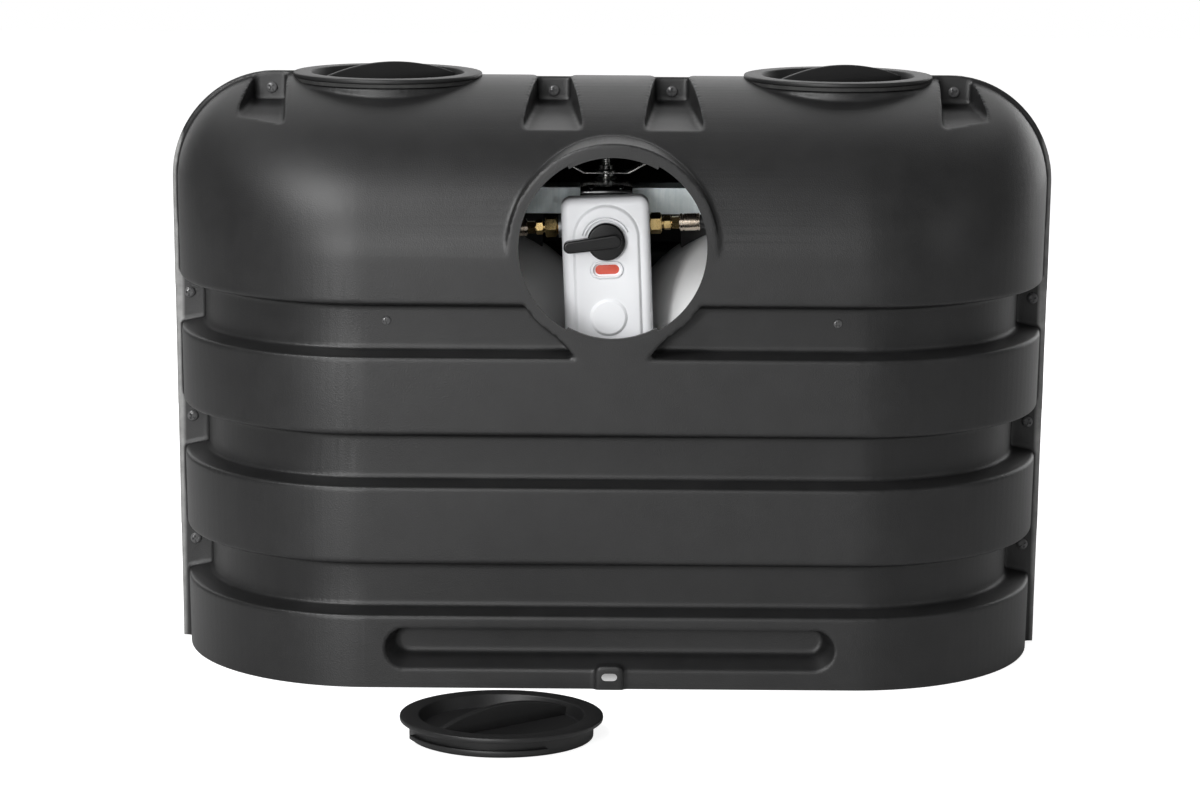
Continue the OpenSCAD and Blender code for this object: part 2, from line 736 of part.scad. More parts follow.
module body_form(o, floor_z, reach) {
    levels = concat([[floor_z, 0]], ledges(o), shoulder_levels(o));
    loft([for (l = levels) body_ring(l[0], o, l[1], reach)]);
}

// Seam flange of one half, before the inside is taken out
module flange_plate() {
    top_half = band_half + flange_lip + side_taper * 0.75;
    edge = [for (i = [0:12]) let(a = 90 * i / 12)
        [corner_x + (top_half - corner_x) * cos(a), corner_z + (corner_h + flange_rise) * sin(a)]];
    side = concat([[band_half + flange_lip, 0]], edge,
        [[corner_x - 70, cover_top + flange_rise], [corner_x - 150, cover_top - seat]]);
    facing_front(0) linear_extrude(flange_t)
        polygon(concat(side, [for (i = [len(side) - 1:-1:0]) [-side[i][0], side[i][1]]]));
}

// Places in the XZ plane where the flange is screwed
function flange_half(z) = band_half + flange_lip + side_taper * 0.75 * z / corner_z;
side_spots = [for (s = [-1, 1], i = [0:2])
    let(z = recess_low(i) + recess_h / 2 + screw_lift) [s * (flange_half(z) - screw_edge), z]];
pocket_x = 48;
corner_pocket_x = corner_x + 3;
top_spots = [for (s = [-1, 1]) each [[s * pocket_x, cover_top - 11.5], [s * corner_pocket_x, cover_top - 10.5]]];

// Wedge-shaped pocket round a top screw: four corner posts from a sloping floor
module pocket(corners, grow) {
    hull() for (c = corners)
        translate([c[0], c[1], c[2] - grow]) cylinder(r = 1 + grow, h = 60, $fn = 12);
}
module pockets(grow) {
    for (s = [-1, 1]) {
        pocket([for (c = [[-12.5, -4.5, -19.5], [12.5, -4.5, -19.5], [-23, -120, -31.5], [23, -120, -31.5]])
            [s * pocket_x + c[0], c[1] + grow * 0, cover_top + c[2]]], grow);
        pocket([for (c = [[-11, -4.5, -20.5], [13, -4.5, -20.5], [23, -73, -27], [-16, -106, -31]])
            [s * (corner_pocket_x + c[0]), c[1], cover_top + c[2]]], grow);
    }
}

// Panel that carries the window down across the highest recess
module window_panel(grow) {
    low = recess_low(2);
    facing_front(-half_depth + recess_depth + 6 - grow) linear_extrude(recess_depth + 6 - 2 * grow)
        polygon([for (p = [[-66, low + recess_h + 3], [66, low + recess_h + 3], [25, low - 2], [-25, low - 2]])
            [p[0] - sign(p[0]) * grow * 1.2, p[1]]]);
}

module long_recess(grow) {
    mid_z = 32.5;
    hull() {
        translate([0, 0, mid_z]) facing_front(-half_depth + grow) for (s = [-1, 1])
            translate([s * 162.5, 0, 0]) cylinder(r = 15.5 + grow, h = 5, $fn = 32);
        translate([0, 0, mid_z + 6]) facing_front(-half_depth + 10 + grow) for (s = [-1, 1])
            translate([s * 152, 0, 0]) cylinder(r = 8.5 + grow, h = 5, $fn = 32);
    }
}

module lid_openings(front) {
    for (s = [-1, 1]) translate([s * lid_x, 0, 0]) {
        translate([0, 0, dome_z]) cylinder(r = hole_r, h = 200);
        translate([0, 0, land_z]) cylinder(r = neck_r + 1.5, h = 60);
    }
}

// Two bayonet lugs of an opening, in the XY plane
module lugs() {
    for (a = [90, 270]) intersection() {
        difference() { circle(r = hole_r + 0.5); circle(r = lug_r); }
        sector(hole_r, lug_half_angle, a);
    }
}

// Front half of everything that both cover halves have
module half_cover(with_window) {
    difference() {
        intersection() {
            union() {
                difference() {
                    union() {
                        body_form(0, 0, 0);
                        flange_plate();
                        for (s = [-1, 1]) translate([s * lid_x, 0, dome_z]) cylinder(r = neck_r, h = land_z - dome_z);
                        if (with_window) {
                            window_panel(0);
                            translate([0, 0, window_z]) facing_front(-60) cylinder(r = hole_r + 3.7, h = half_depth - 60);
                            // raised pad round the locking slot
                            translate([-11, -half_depth - 3.5, 0]) cube([22, 4, 19]);
                        }
                    }
                    pockets(0);
                    if (with_window) long_recess(0);
                    difference() {
                        union() {
                            body_form(wall, -over, over);
                            if (with_window) window_panel(wall);
                        }
                        pockets(wall);
                        if (with_window) long_recess(wall);
                    }
                    lid_openings();
                    if (with_window) {
                        translate([0, 0, window_z]) facing_front(-30) cylinder(r = hole_r, h = half_depth);
                        translate([0, 0, 10]) facing_front(-half_depth + 10) linear_extrude(20) obround(12, 6.5);
                    }
                }
                for (s = [-1, 1]) translate([s * lid_x, 0, land_z - lug_t - lug_sink])
                    linear_extrude(lug_t) lugs();
                if (with_window) translate([0, 0, window_z]) facing_front(-half_depth + lug_sink + lug_t + 0.6)
                    linear_extrude(lug_t + 0.6) lugs();
            }
            translate([-500, -500, 0]) cube([1000, 500, 600]);
        }
        for (p = concat(side_spots, top_spots)) translate([p[0], 0, p[1]])
            facing_front(over) cylinder(r = screw_hole_r, h = flange_t + 2 * over, $fn = 20);
        if (with_window) for (s = [-1, 1]) translate([s * bumper_x, 0, bumper_z])
            facing_front(-half_depth + 40) cylinder(r = 1.8, h = 60, $fn = 20);
    }
}

bumper_x = cyl_x + 7;
bumper_z = recess_low(2) + 26;

module front_shell() { color("#1b1b1c") half_cover(true); }
module rear_shell() { color("#1b1b1c") mirror([0, 1, 0]) half_cover(false); }

// Pan-head screw through both flanges, head at the front
module flange_screw() {
    facing_front(-flange_t - seat) cylinder(r = 4.6, h = 3);
    facing_front(flange_t + 5) cylinder(r = screw_hole_r - 0.3, h = 2 * flange_t + 5 + 1);
}
module side_screws() { color("#2a2a2a") for (p = side_spots) translate([p[0], 0, p[1]]) flange_screw(); }
module top_screws() { color("#2a2a2a") for (p = top_spots) translate([p[0], 0, p[1]]) flange_screw(); }

pad_t = front_clear + 0.15;
module bumper_pads() {
    color("#303030") for (s = [-1, 1]) translate([s * bumper_x, 0, bumper_z]) difference() {
        translate([-14, -half_depth + recess_depth + wall + seat, -13]) cube([28, pad_t, 26]);
        facing_front(0) cylinder(r = 1.6, h = 300);
    }
}
module bumper_screws() {
    y = -half_depth + recess_depth;
    color("#2a2a2a") for (s = [-1, 1]) translate([s * bumper_x, 0, bumper_z]) {
        facing_front(y - seat) cylinder(r = 3.6, h = 1.8);
        facing_front(y + wall + pad_t - 2) cylinder(r = 1.5, h = wall + pad_t - 1);
    }
}

// ---- lids ----
module lid_gasket(s) {
    color("#151515") translate([s * lid_x, 0, land_z + seat]) ring(neck_r - 0.3, hole_r + 0.3, gasket_t - 2 * seat);
}
module lid_gasket_left() { lid_gasket(-1); }
module lid_gasket_right() { lid_gasket(1); }

// A lid with its rim's top face at z = 0 and its bayonet tabs along X
module lid(turn) {
    floor_t = 3;
    grip_l = 2 * dish_r + 4;
    arch_r = (pow(grip_l / 2, 2) + pow(grip_rise, 2)) / 2 / grip_rise;
    tab_top = -lid_rim_t - gasket_t - lug_sink - lug_t - tab_drop;
    difference() {
        union() {
            translate([0, 0, -lid_rim_t]) cylinder(r = lid_r, h = lid_rim_t);
            translate([0, 0, -lid_h]) cylinder(r = skirt_r, h = lid_h);
            intersection() {
                translate([0, 0, tab_top - tab_t]) cylinder(r = tab_r, h = tab_t);
                translate([0, 0, tab_top - tab_t]) linear_extrude(tab_t)
                    for (a = [0, 180]) sector(tab_r, 50, a);
            }
        }
        translate([0, 0, -dish_depth]) cylinder(r = dish_r, h = dish_depth + over);
        translate([0, 0, -lid_h - over]) cylinder(r = skirt_r - 3, h = lid_h - dish_depth - floor_t + over);
    }
    // arched grip across the dish
    rotate([0, 0, turn]) intersection() {
        translate([-grip_l / 2, -grip_t / 2, -dish_depth - 0.5]) cube([grip_l, grip_t, dish_depth + grip_rise + 1]);
        translate([0, 0, grip_rise - arch_r]) rotate([90, 0, 0])
            cylinder(r = arch_r, h = 2 * grip_t, center = true, $fn = 128);
    }
}
module lid_left() { color("#1b1b1c") translate([-lid_x, 0, lid_top]) lid(grip_angle); }
module lid_right() { color("#1b1b1c") translate([lid_x, 0, lid_top]) lid(grip_angle); }
// The window's lid, taken off and laid on the floor in front
module lid_front() { color("#1b1b1c") translate([-82, -half_depth - 148.6, lid_h]) rotate(70) lid(-30); }

base_tray();
centre_rod();
rod_base_nut();
hold_down_bar();
bar_feet();
regulator_bracket();
bracket_screws();
rod_washer();
wing_nut();
cylinder_left();
cylinder_right();
collar_left();
collar_right();
foot_ring_left();
foot_ring_right();
valve_left();
valve_right();
handwheel_left();
handwheel_right();
coupling_nut_left();
coupling_nut_right();
hose_nipple_left();
hose_nipple_right();
hose_left();
hose_right();
ferrule_left();
ferrule_right();
flare_nut_left();
flare_nut_right();
inlet_fitting_left();
inlet_fitting_right();
regulator_body();
diaphragm();
main_spring();
regulator_bonnet();
spring_cap();
regulator_cover();
cover_screws();
selector_spindle();
selector_knob();
indicator_drum();
indicator_lens();
front_shell();
rear_shell();
side_screws();
top_screws();
bumper_pads();
bumper_screws();
lid_gasket_left();
lid_gasket_right();
lid_left();
lid_right();
lid_front();
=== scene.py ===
# %% [markdown]
# # A hard cover for two gas cylinders
# The object is a black moulded cover in two halves. It stands over a rack with two gas cylinders, a
# hold-down bar and a changeover regulator with its hoses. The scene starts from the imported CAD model,
# which gives every piece its place and its moving body, and adds the shapes and finishes that show.

# %% Load the frame
import bpy
import bmesh
import json
import math
from mathutils import Matrix, Vector


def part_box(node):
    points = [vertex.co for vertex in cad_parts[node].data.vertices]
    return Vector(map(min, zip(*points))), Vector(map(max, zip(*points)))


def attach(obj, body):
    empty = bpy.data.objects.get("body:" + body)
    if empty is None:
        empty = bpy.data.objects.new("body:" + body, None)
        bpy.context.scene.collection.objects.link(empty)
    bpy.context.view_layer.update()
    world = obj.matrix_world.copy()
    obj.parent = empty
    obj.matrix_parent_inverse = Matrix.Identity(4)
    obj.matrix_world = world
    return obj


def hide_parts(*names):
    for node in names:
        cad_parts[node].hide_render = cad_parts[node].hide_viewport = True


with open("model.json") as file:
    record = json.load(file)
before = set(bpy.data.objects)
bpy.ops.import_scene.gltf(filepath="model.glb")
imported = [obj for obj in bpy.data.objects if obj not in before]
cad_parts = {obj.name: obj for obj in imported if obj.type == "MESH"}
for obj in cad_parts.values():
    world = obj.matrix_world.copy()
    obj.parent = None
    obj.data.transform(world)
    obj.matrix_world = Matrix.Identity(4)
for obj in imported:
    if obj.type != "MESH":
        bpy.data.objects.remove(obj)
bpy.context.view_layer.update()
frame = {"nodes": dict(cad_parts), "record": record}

nodes = frame["nodes"]
MM = 0.001

# %% [markdown]
# ## Camera
# The camera stands 3.4 m in front and looks down by almost ten degrees, with a long lens, as for a
# catalogue picture. Its axes are written out from yaw, pitch and roll, because a matrix made from three
# unit vectors can't be turned about the wrong axis by mistake.

# %% Camera
YAW, PITCH, ROLL = 0.165, 9.825, 0.457
CAMERA_AT = (-0.0183, -3.4021, 0.7856)
SENSOR, LENS, FARTHEST = 36.0, 125.32, 50

def make_camera():
    yaw, pitch, roll = (math.radians(a) for a in (YAW, PITCH, ROLL))
    ahead = Vector((math.sin(yaw) * math.cos(pitch), math.cos(yaw) * math.cos(pitch), -math.sin(pitch)))
    right = Vector((math.cos(yaw), -math.sin(yaw), 0))
    up = right.cross(ahead)
    right, up = math.cos(roll) * right + math.sin(roll) * up, math.cos(roll) * up - math.sin(roll) * right
    data = bpy.data.cameras.new("catalogue_camera")
    data.sensor_width, data.lens, data.clip_end = SENSOR, LENS, FARTHEST
    camera = bpy.data.objects.new("catalogue_camera", data)
    bpy.context.scene.collection.objects.link(camera)
    turn = Matrix((right, up, -ahead)).transposed().to_4x4()
    camera.matrix_world = Matrix.Translation(CAMERA_AT) @ turn
    bpy.context.scene.camera = camera
    print("camera at", [round(c, 3) for c in camera.location], "lens", data.lens)

make_camera()

# %% [markdown]
# ## Hoses
# Each hose goes from a crimped ferrule at the regulator round to the valve of its cylinder. It is stiff
# reinforced rubber, so it keeps wide bends. A Bezier curve through the route's points, with a round bevel,
# gives a smooth tube, and its real length is measured from the curve itself. The bevel is one metre deep
# and each point's own radius brings it down to that of the hose, because Blender's box round a curve
# counts the points' radii and not the bevel.

# %% Hoses
ROUTES = {
    "right": [(70, -84, 360), (85, -84, 361), (100, -88, 360), (114, -96, 359), (126, -105, 358),
              (138, -116, 357), (150, -126, 356), (162, -135, 357), (176, -141, 360), (191, -144, 364),
              (206, -142, 369), (218, -135, 375), (228, -124, 381), (232, -110, 386), (231, -95, 390),
              (226, -80, 392), (217, -67, 392)],
    "left": [(-84, -84, 354), (-99, -84, 353), (-114, -88, 351), (-128, -95, 347), (-140, -104, 343),
             (-151, -114, 340), (-163, -124, 338), (-176, -132, 339), (-190, -138, 343), (-204, -140, 349),
             (-217, -138, 357), (-227, -132, 366), (-233, -121, 376), (-235, -108, 384), (-232, -94, 389),
             (-226, -80, 392), (-217, -67, 392)],
}
HOSE_D = 10.8
INNER_REACH, END_REACH = 6, 3  # a handle's length is the gap between its neighbours divided by this

def on_bezier(a, b, t):
    p, q, r, s = a.co, a.handle_right, b.handle_left, b.co
    return (1 - t) ** 3 * p + 3 * t * (1 - t) ** 2 * q + 3 * t * t * (1 - t) * r + t ** 3 * s

def bezier_length(spline, steps=24):
    total, points = 0.0, spline.bezier_points
    for a, b in zip(points, points[1:]):
        for k in range(steps):
            total += (on_bezier(a, b, (k + 1) / steps) - on_bezier(a, b, k / steps)).length
    return total

def make_hose(side):
    curve = bpy.data.curves.new(f"hose_{side}_rubber", "CURVE")
    curve.dimensions = "3D"
    curve.bevel_depth, curve.bevel_resolution, curve.resolution_u = 1.0, 6, 8
    curve.use_fill_caps = True
    points = [Vector(p) * MM for p in ROUTES[side]]
    spline = curve.splines.new("BEZIER")
    spline.bezier_points.add(len(points) - 1)
    for i, (bp, co) in enumerate(zip(spline.bezier_points, points)):
        bp.co, bp.radius = co, HOSE_D / 2 * MM
        ahead = points[min(i + 1, len(points) - 1)] - points[max(i - 1, 0)]
        reach = ahead.length / (INNER_REACH if 0 < i < len(points) - 1 else END_REACH)
        bp.handle_left_type = bp.handle_right_type = "FREE"
        bp.handle_left, bp.handle_right = co - ahead.normalized() * reach, co + ahead.normalized() * reach
    hose = bpy.data.objects.new(f"hose_{side}_rubber", curve)
    bpy.context.scene.collection.objects.link(hose)
    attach(hose, "rack")
    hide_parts(f"hose_{side}")
    length = bezier_length(spline)
    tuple(points[0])
    print(f"hose {side}: {length * 1000:.0f} mm")
    return hose

hoses = [make_hose(side) for side in ("left", "right")]

# %% [markdown]
# ## Shader maths as Python
# A material here is a graph of nodes. One small class wraps a socket, so that mask * 0.2 + 0.1 adds its
# Math nodes, and one method adds any other node from its type, its settings and its inputs. This keeps a
# material readable as a formula.

# %% Shader helper
class Value:
    def __init__(self, graph, socket):
        self.graph, self.socket = graph, socket

    def maths(self, operation, *parts):
        return self.graph.add("ShaderNodeMath", {"operation": operation}, dict(enumerate(parts)))

    def output(self, index):
        """Another output of the node that this value comes from."""
        return Value(self.graph, self.socket.node.outputs[index])

    def __add__(self, other): return self.maths("ADD", self, other)
    def __sub__(self, other): return self.maths("SUBTRACT", self, other)
    def __mul__(self, other): return self.maths("MULTIPLY", self, other)
    def __truediv__(self, other): return self.maths("DIVIDE", self, other)
    def __pow__(self, other): return self.maths("POWER", self, other)
    def __abs__(self): return self.maths("ABSOLUTE", self)

    def limit(self, low, high, to_low=0.0, to_high=1.0):
        """This value, with low..high spread over to_low..to_high and kept inside it."""
        return self.graph.add("ShaderNodeMapRange", {"clamp": True},
            {"Value": self, "From Min": low, "From Max": high, "To Min": to_low, "To Max": to_high})


class Graph:
    """The node tree of one material, with its Principled BSDF ready."""
    def __init__(self, name):
        self.material = bpy.data.materials.new(name)
        self.material.use_nodes = True
        self.tree = self.material.node_tree
        self.shader = self.tree.nodes["Principled BSDF"]
        self.place = self.add("ShaderNodeTexCoord", {}, {}, "Object")

    def add(self, kind, settings, inputs, output=0):
        node = self.tree.nodes.new(kind)
        for key, value in settings.items():
            setattr(node, key, value)
        for key, value in inputs.items():
            self.feed(node.inputs[key], value)
        return Value(self, node.outputs[output])

    def feed(self, socket, value):
        if isinstance(value, Value):
            self.tree.links.new(value.socket, socket)
        elif socket.type == "RGBA" and len(value) == 3:
            socket.default_value = (*value, 1)
        else:
            socket.default_value = value

    def noise(self, scale, detail=2.0, roughness=0.5, stretch=None):
        place = self.place
        if stretch:
            place = self.add("ShaderNodeMapping", {}, {"Vector": place, "Scale": stretch})
        return self.add("ShaderNodeTexNoise", {}, {"Vector": place, "Scale": scale,
            "Detail": detail, "Roughness": roughness})

    def cells(self, scale, output="Distance"):
        return self.add("ShaderNodeTexVoronoi", {}, {"Vector": self.place, "Scale": scale}, output)

    def mix(self, factor, a, b):
        node = self.tree.nodes.new("ShaderNodeMix")
        node.data_type = "RGBA"
        sockets = {s.identifier: s for s in node.inputs}
        self.feed(sockets["Factor_Float"], factor)
        self.feed(sockets["A_Color"], a)
        self.feed(sockets["B_Color"], b)
        return Value(self, next(s for s in node.outputs if s.identifier == "Result_Color"))

    def finish(self, colour, roughness, height=None, depth=0.0001, **plain):
        self.feed(self.shader.inputs["Base Color"], colour)
        self.feed(self.shader.inputs["Roughness"], roughness)
        for name, value in plain.items():
            self.feed(self.shader.inputs[name.replace("_", " ")], value)
        if height is not None:
            bump = self.add("ShaderNodeBump", {},
                {"Height": height, "Strength": 1.0, "Distance": depth}, "Normal")
            self.tree.links.new(bump.socket, self.shader.inputs["Normal"])
        return self.material

# %% [markdown]
# ## Moulded black plastic
# The cover is vacuum formed or moulded from black sheet with a fine leather-like grain. A flat black would
# look like paint, so the grain is a bump of small cells over finer noise, the gloss varies a little over
# wide patches where the sheet was stretched, and a thin haze of pale dust lightens the colour unevenly.
# The thin flanges at the two sides are painted paler, a painted highlight where light catches them, which a
# mask on Object coordinates lays on.

# %% Black plastics
FLANGE_HIGHLIGHT_X, FLANGE_HIGHLIGHT_Y = (0.350, 0.353), (0.0042, 0.0036)  # where the faces with the painted highlight start, in metres

def painted_flange_highlight(g):
    """1 on the faces of the two side flanges, where a paler colour is a painted highlight, broken up a
    little.
    """
    axes = g.add("ShaderNodeSeparateXYZ", {}, {"Vector": g.place})
    across, along = abs(axes), axes.output(1)
    near_seam = abs(along).limit(*FLANGE_HIGHLIGHT_Y)
    return across.limit(*FLANGE_HIGHLIGHT_X) * near_seam * g.noise(90.0, 3.0, 0.6).limit(0.2, 0.6, 0.6, 1.0)

# a paler black, painted on the flanges as a highlight
FLANGE_HIGHLIGHT_BLACK = (0.24, 0.24, 0.237)

def grained_plastic(name, dark, pale, gloss, grain, depth, painted_highlight=None, **plain):
    g = Graph(name)
    patches = g.noise(3.5, 3.0)
    haze = g.noise(38.0, 4.0, 0.6)
    small = g.cells(grain)
    fine = g.noise(grain * 2.2, 2.0)
    scuffs = g.noise(60.0, 3.0, 0.7, (1.0, 1.0, 6.0)).limit(0.66, 0.78)
    colour = g.mix(haze.limit(0.35, 0.75) * 0.55 + patches * 0.3, dark, pale)
    # the masked flange faces get the paler black: a painted highlight
    if painted_highlight:
        colour = g.mix(painted_highlight(g), colour, FLANGE_HIGHLIGHT_BLACK)
    roughness = patches.limit(0.3, 0.7, gloss - 0.03, gloss + 0.04) + haze * 0.05 - scuffs * 0.04
    return g.finish(colour, roughness, small * 0.7 + fine * 0.5, depth, **plain)

# the cover's side flanges carry the painted highlight
cover_plastic = grained_plastic("cover_plastic", (0.006, 0.006, 0.0062), (0.013, 0.013, 0.0133),
                                0.42, 900.0, 0.00010, painted_flange_highlight)
lid_plastic = grained_plastic("lid_plastic", (0.004, 0.004, 0.0042), (0.009, 0.009, 0.0093),
                              0.46, 1100.0, 0.00008)
black_plastic = grained_plastic("black_plastic", (0.012, 0.012, 0.012), (0.02, 0.02, 0.02),
                                0.38, 1500.0, 0.00005)
knob_plastic = grained_plastic("knob_plastic", (0.004, 0.004, 0.0042), (0.008, 0.008, 0.0083),
                               0.26, 1500.0, 0.00002, Specular_IOR_Level=0.36)

# %% [markdown]
# ## Grey and red plastics
# The regulator's cover is pale grey plastic with a fine spark-eroded texture, so it shines softly. The
# indicator's drum is glossy red, and the half see-through window before it takes on its colour.

# %% Coloured plastics
def plain_plastic(name, colour, shade, gloss, grain, depth):
    g = Graph(name)
    patches = g.noise(14.0, 3.0)
    fine = g.noise(grain, 3.0, 0.6)
    tone = g.mix(patches.limit(0.3, 0.7), shade, colour)
    return g.finish(tone, patches.limit(0.2, 0.8, gloss - 0.04, gloss + 0.04), fine, depth)

grey_plastic = plain_plastic("grey_plastic", (0.89, 0.90, 0.92), (0.86, 0.87, 0.89), 0.36, 2400.0, 0.00004)
red_plastic = plain_plastic("red_plastic", (0.62, 0.045, 0.03), (0.55, 0.035, 0.025), 0.28, 1200.0, 0.00002)

def clear_plastic():
    g = Graph("clear_lens")
    wear = g.noise(400.0, 2.0)
    g.material.surface_render_method = "BLENDED"
    tone = g.mix(wear * 0.3, (0.90, 0.13, 0.08), (0.96, 0.33, 0.25))
    return g.finish(tone, wear.limit(0.2, 0.8, 0.06, 0.14), Alpha=0.55)

clear_lens = clear_plastic()

# %% [markdown]
# ## Metals
# Brass fittings are turned, so fine rings run round them. Galvanised steel has flat crystals, each with
# its own grey, which cells of a Voronoi pattern give, and rolling has drawn fine upright streaks over them.
# Painted steel has a faint orange peel, and the bracket's black coat is a thin metal plating, so it still
# shines like metal.

# %% Metals
def turned_metal(name, bright, dull, gloss, streak=(1.0, 1.0, 1.0)):
    g = Graph(name)
    stain = g.noise(120.0, 4.0, 0.6)
    lines = g.noise(900.0, 2.0, 0.5, streak)
    tone = g.mix(stain.limit(0.4, 0.75), bright, dull)
    roughness = stain.limit(0.3, 0.8, gloss - 0.05, gloss + 0.12) + lines * 0.06
    return g.finish(tone, roughness, lines, 0.00002, Metallic=1.0)

RINGS = (6.0, 1.0, 1.0)
brass = turned_metal("brass", (0.74, 0.55, 0.25), (0.46, 0.32, 0.13), 0.18, RINGS)
ferrule_steel = turned_metal("ferrule_steel", (0.82, 0.72, 0.60), (0.58, 0.47, 0.36), 0.18, RINGS)
zinc = turned_metal("zinc", (0.74, 0.74, 0.72), (0.56, 0.56, 0.55), 0.20)
zinc_casting = turned_metal("zinc_casting", (0.55, 0.56, 0.57), (0.44, 0.45, 0.46), 0.42)

def galvanised_steel():
    g = Graph("galvanised")
    crystal = g.cells(260.0, "Color")
    big = g.cells(90.0, "Color")
    pick = g.add("ShaderNodeSeparateColor", {}, {"Color": crystal}, "Red")
    pick_big = g.add("ShaderNodeSeparateColor", {}, {"Color": big}, "Green")
    streaks = g.noise(420.0, 3.0, 0.6, (1.0, 1.0, 0.06))
    tone = g.mix(pick * 0.3 + pick_big * 0.2 + streaks.limit(0.35, 0.65) * 0.5,
                 (0.70, 0.79, 0.81), (0.93, 0.99, 0.99))
    return g.finish(tone, pick.limit(0.0, 1.0, 0.30, 0.44) + streaks * 0.1, streaks, 0.00002, Metallic=0.95)

galvanised = galvanised_steel()

def paint(name, colour, shade, gloss, peel=300.0, **plain):
    g = Graph(name)
    cloud = g.noise(6.0, 3.0)
    orange_peel = g.noise(peel, 2.0)
    tone = g.mix(cloud.limit(0.3, 0.7), shade, colour)
    return g.finish(tone, cloud.limit(0.2, 0.8, gloss - 0.03, gloss + 0.05), orange_peel, 0.00003, **plain)

white_paint = paint("cylinder_white", (0.90, 0.90, 0.90), (0.87, 0.87, 0.87), 0.28, Coat_Weight=0.3)
tray_paint = paint("tray_steel", (0.035, 0.035, 0.036), (0.028, 0.028, 0.029), 0.45, 500.0)
black_steel = paint("black_steel", (0.20, 0.20, 0.202), (0.14, 0.14, 0.142), 0.14, 700.0, Metallic=1.0)
black_screw = paint("black_screw", (0.10, 0.10, 0.102), (0.07, 0.07, 0.071), 0.20, 1200.0)

# %% [markdown]
# ## Rubber
# The hoses' rubber is smooth with a slight sheen, and the feet, pads and gaskets are matt. Fine noise
# breaks up the reflection, and a little grey shows where rubber has bloomed.

# %% Rubbers
def rubber(name, dark, bloom, gloss, grain):
    g = Graph(name)
    cloud = g.noise(70.0, 4.0, 0.6)
    fine = g.noise(grain, 3.0)
    tone = g.mix(cloud.limit(0.45, 0.8), dark, bloom)
    return g.finish(tone, cloud.limit(0.2, 0.8, gloss - 0.05, gloss + 0.08), fine, 0.00004)

rubber_black = rubber("rubber_black", (0.014, 0.014, 0.014), (0.035, 0.035, 0.034), 0.72, 1600.0)
hose_rubber = rubber("hose_rubber", (0.010, 0.010, 0.010), (0.022, 0.022, 0.022), 0.46, 1200.0)
for hose in hoses:
    hose.data.materials.append(hose_rubber)

# %% [markdown]
# ## Finishes on the CAD nodes
# The record names a material slot for every node. One table goes from slot to finish, so each node gets
# its material in one loop, and the pieces that are modelled further on use the same table.

# %% Finishes on the CAD nodes
FINISHES = {"cover_plastic": cover_plastic, "black_screw": black_screw, "tray_steel": tray_paint,
    "black_steel": black_steel, "zinc": zinc, "galvanised": galvanised, "rubber_black": rubber_black,
    "hose_rubber": hose_rubber, "cylinder_white": white_paint, "brass": brass,
    "ferrule_steel": ferrule_steel, "zinc_casting": zinc_casting, "grey_plastic": grey_plastic,
    "black_plastic": black_plastic, "knob_plastic": knob_plastic, "red_plastic": red_plastic,
    "clear_lens": clear_lens, "lid_plastic": lid_plastic}
SUBPARTS = frame["record"]["subparts"]

def finish_cad_nodes():
    for part in SUBPARTS:
        mesh = nodes[part["node"]].data
        mesh.materials.clear()
        mesh.materials.append(FINISHES[part["material_slot"]])
    print(len(SUBPARTS), "CAD nodes have their finish")

finish_cad_nodes()

# %% [markdown]
# ## Helpers for shapes
# Every piece is modelled in millimetres and made metres at the end. A profile's corners get a small
# radius, because moulded, pressed and turned parts have none that are sharp, and light on those radii is
# what shows an edge.

# %% Shape helpers
NEARLY_STRAIGHT = 1.565  # half the angle at a corner, in radians
LONGEST_CUT = 0.48       # how much of a side a corner's curve may take

def fractions(steps):
    """0 to 1 in even steps."""
    return [k / steps for k in range(steps + 1)]

def rounded(points, radius, steps=4):
    """The polyline with each corner turned into a small curve."""
    points = [Vector(p) for p in points]
    out = [points[0]]
    for a, b, c in zip(points, points[1:], points[2:]):
        u, w = (a - b), (c - b)
        half = u.angle(w) / 2
        cut = 0
        if half < NEARLY_STRAIGHT:
            cut = min(radius / math.tan(half), LONGEST_CUT * u.length, LONGEST_CUT * w.length)
        if cut < 1e-3:
            out.append(b)
            continue
        p, q = b + u.normalized() * cut, b + w.normalized() * cut
        out += [(1 - t) ** 2 * p + 2 * t * (1 - t) * b + t * t * q for t in fractions(steps)]
    return out + [points[-1]]

def next_ring(bm, ring, points):
    """Extrudes a closed ring of vertices once, and puts the new ones at the points."""
    edges = [bm.edges.get(pair) for pair in zip(ring, ring[1:] + ring[:1])]
    made = bmesh.ops.extrude_edge_only(bm, edges=edges)["geom"]
    fresh = {v for v in made if isinstance(v, bmesh.types.BMVert)}
    up = [next(e.other_vert(v) for e in v.link_edges if e.other_vert(v) in fresh) for v in ring]
    for v, p in zip(up, points):
        v.co = p
    return up

def band(bm, rings):
    """An open skin over rings that hold the same number of points, and its first and last rings."""
    first = bmesh.ops.create_circle(bm, segments=len(rings[0]), radius=1)["verts"]
    for v, p in zip(first, rings[0]):
        v.co = p
    ring = first
    for points in rings[1:]:
        ring = next_ring(bm, ring, points)
    return first, ring

def loft(bm, rings):
    """The same skin, closed at both ends."""
    for end in band(bm, rings):
        bmesh.ops.contextual_create(bm, geom=end)
    bmesh.ops.recalc_face_normals(bm, faces=bm.faces)
    return bm

def spun(bm, profile, steps):
    """Turns a profile of (radius, height) round Z."""
    chain = [bm.verts.new((max(p[0], 0), 0, p[1])) for p in profile]
    edges = [bm.edges.new(pair) for pair in zip(chain, chain[1:])]
    bmesh.ops.spin(bm, geom=chain + edges, cent=(0, 0, 0), axis=(0, 0, 1), angle=2 * math.pi,
                   steps=steps, use_merge=True)
    bmesh.ops.remove_doubles(bm, verts=bm.verts, dist=1e-4)
    bmesh.ops.recalc_face_normals(bm, faces=bm.faces)
    return bm

RIM_ANGLE = 0.7  # radians

def soften(bm, edges, radius, segments):
    bmesh.ops.bevel(bm, geom=edges, offset=radius, segments=segments, profile=0.5, affect="EDGES",
                    material=-1)

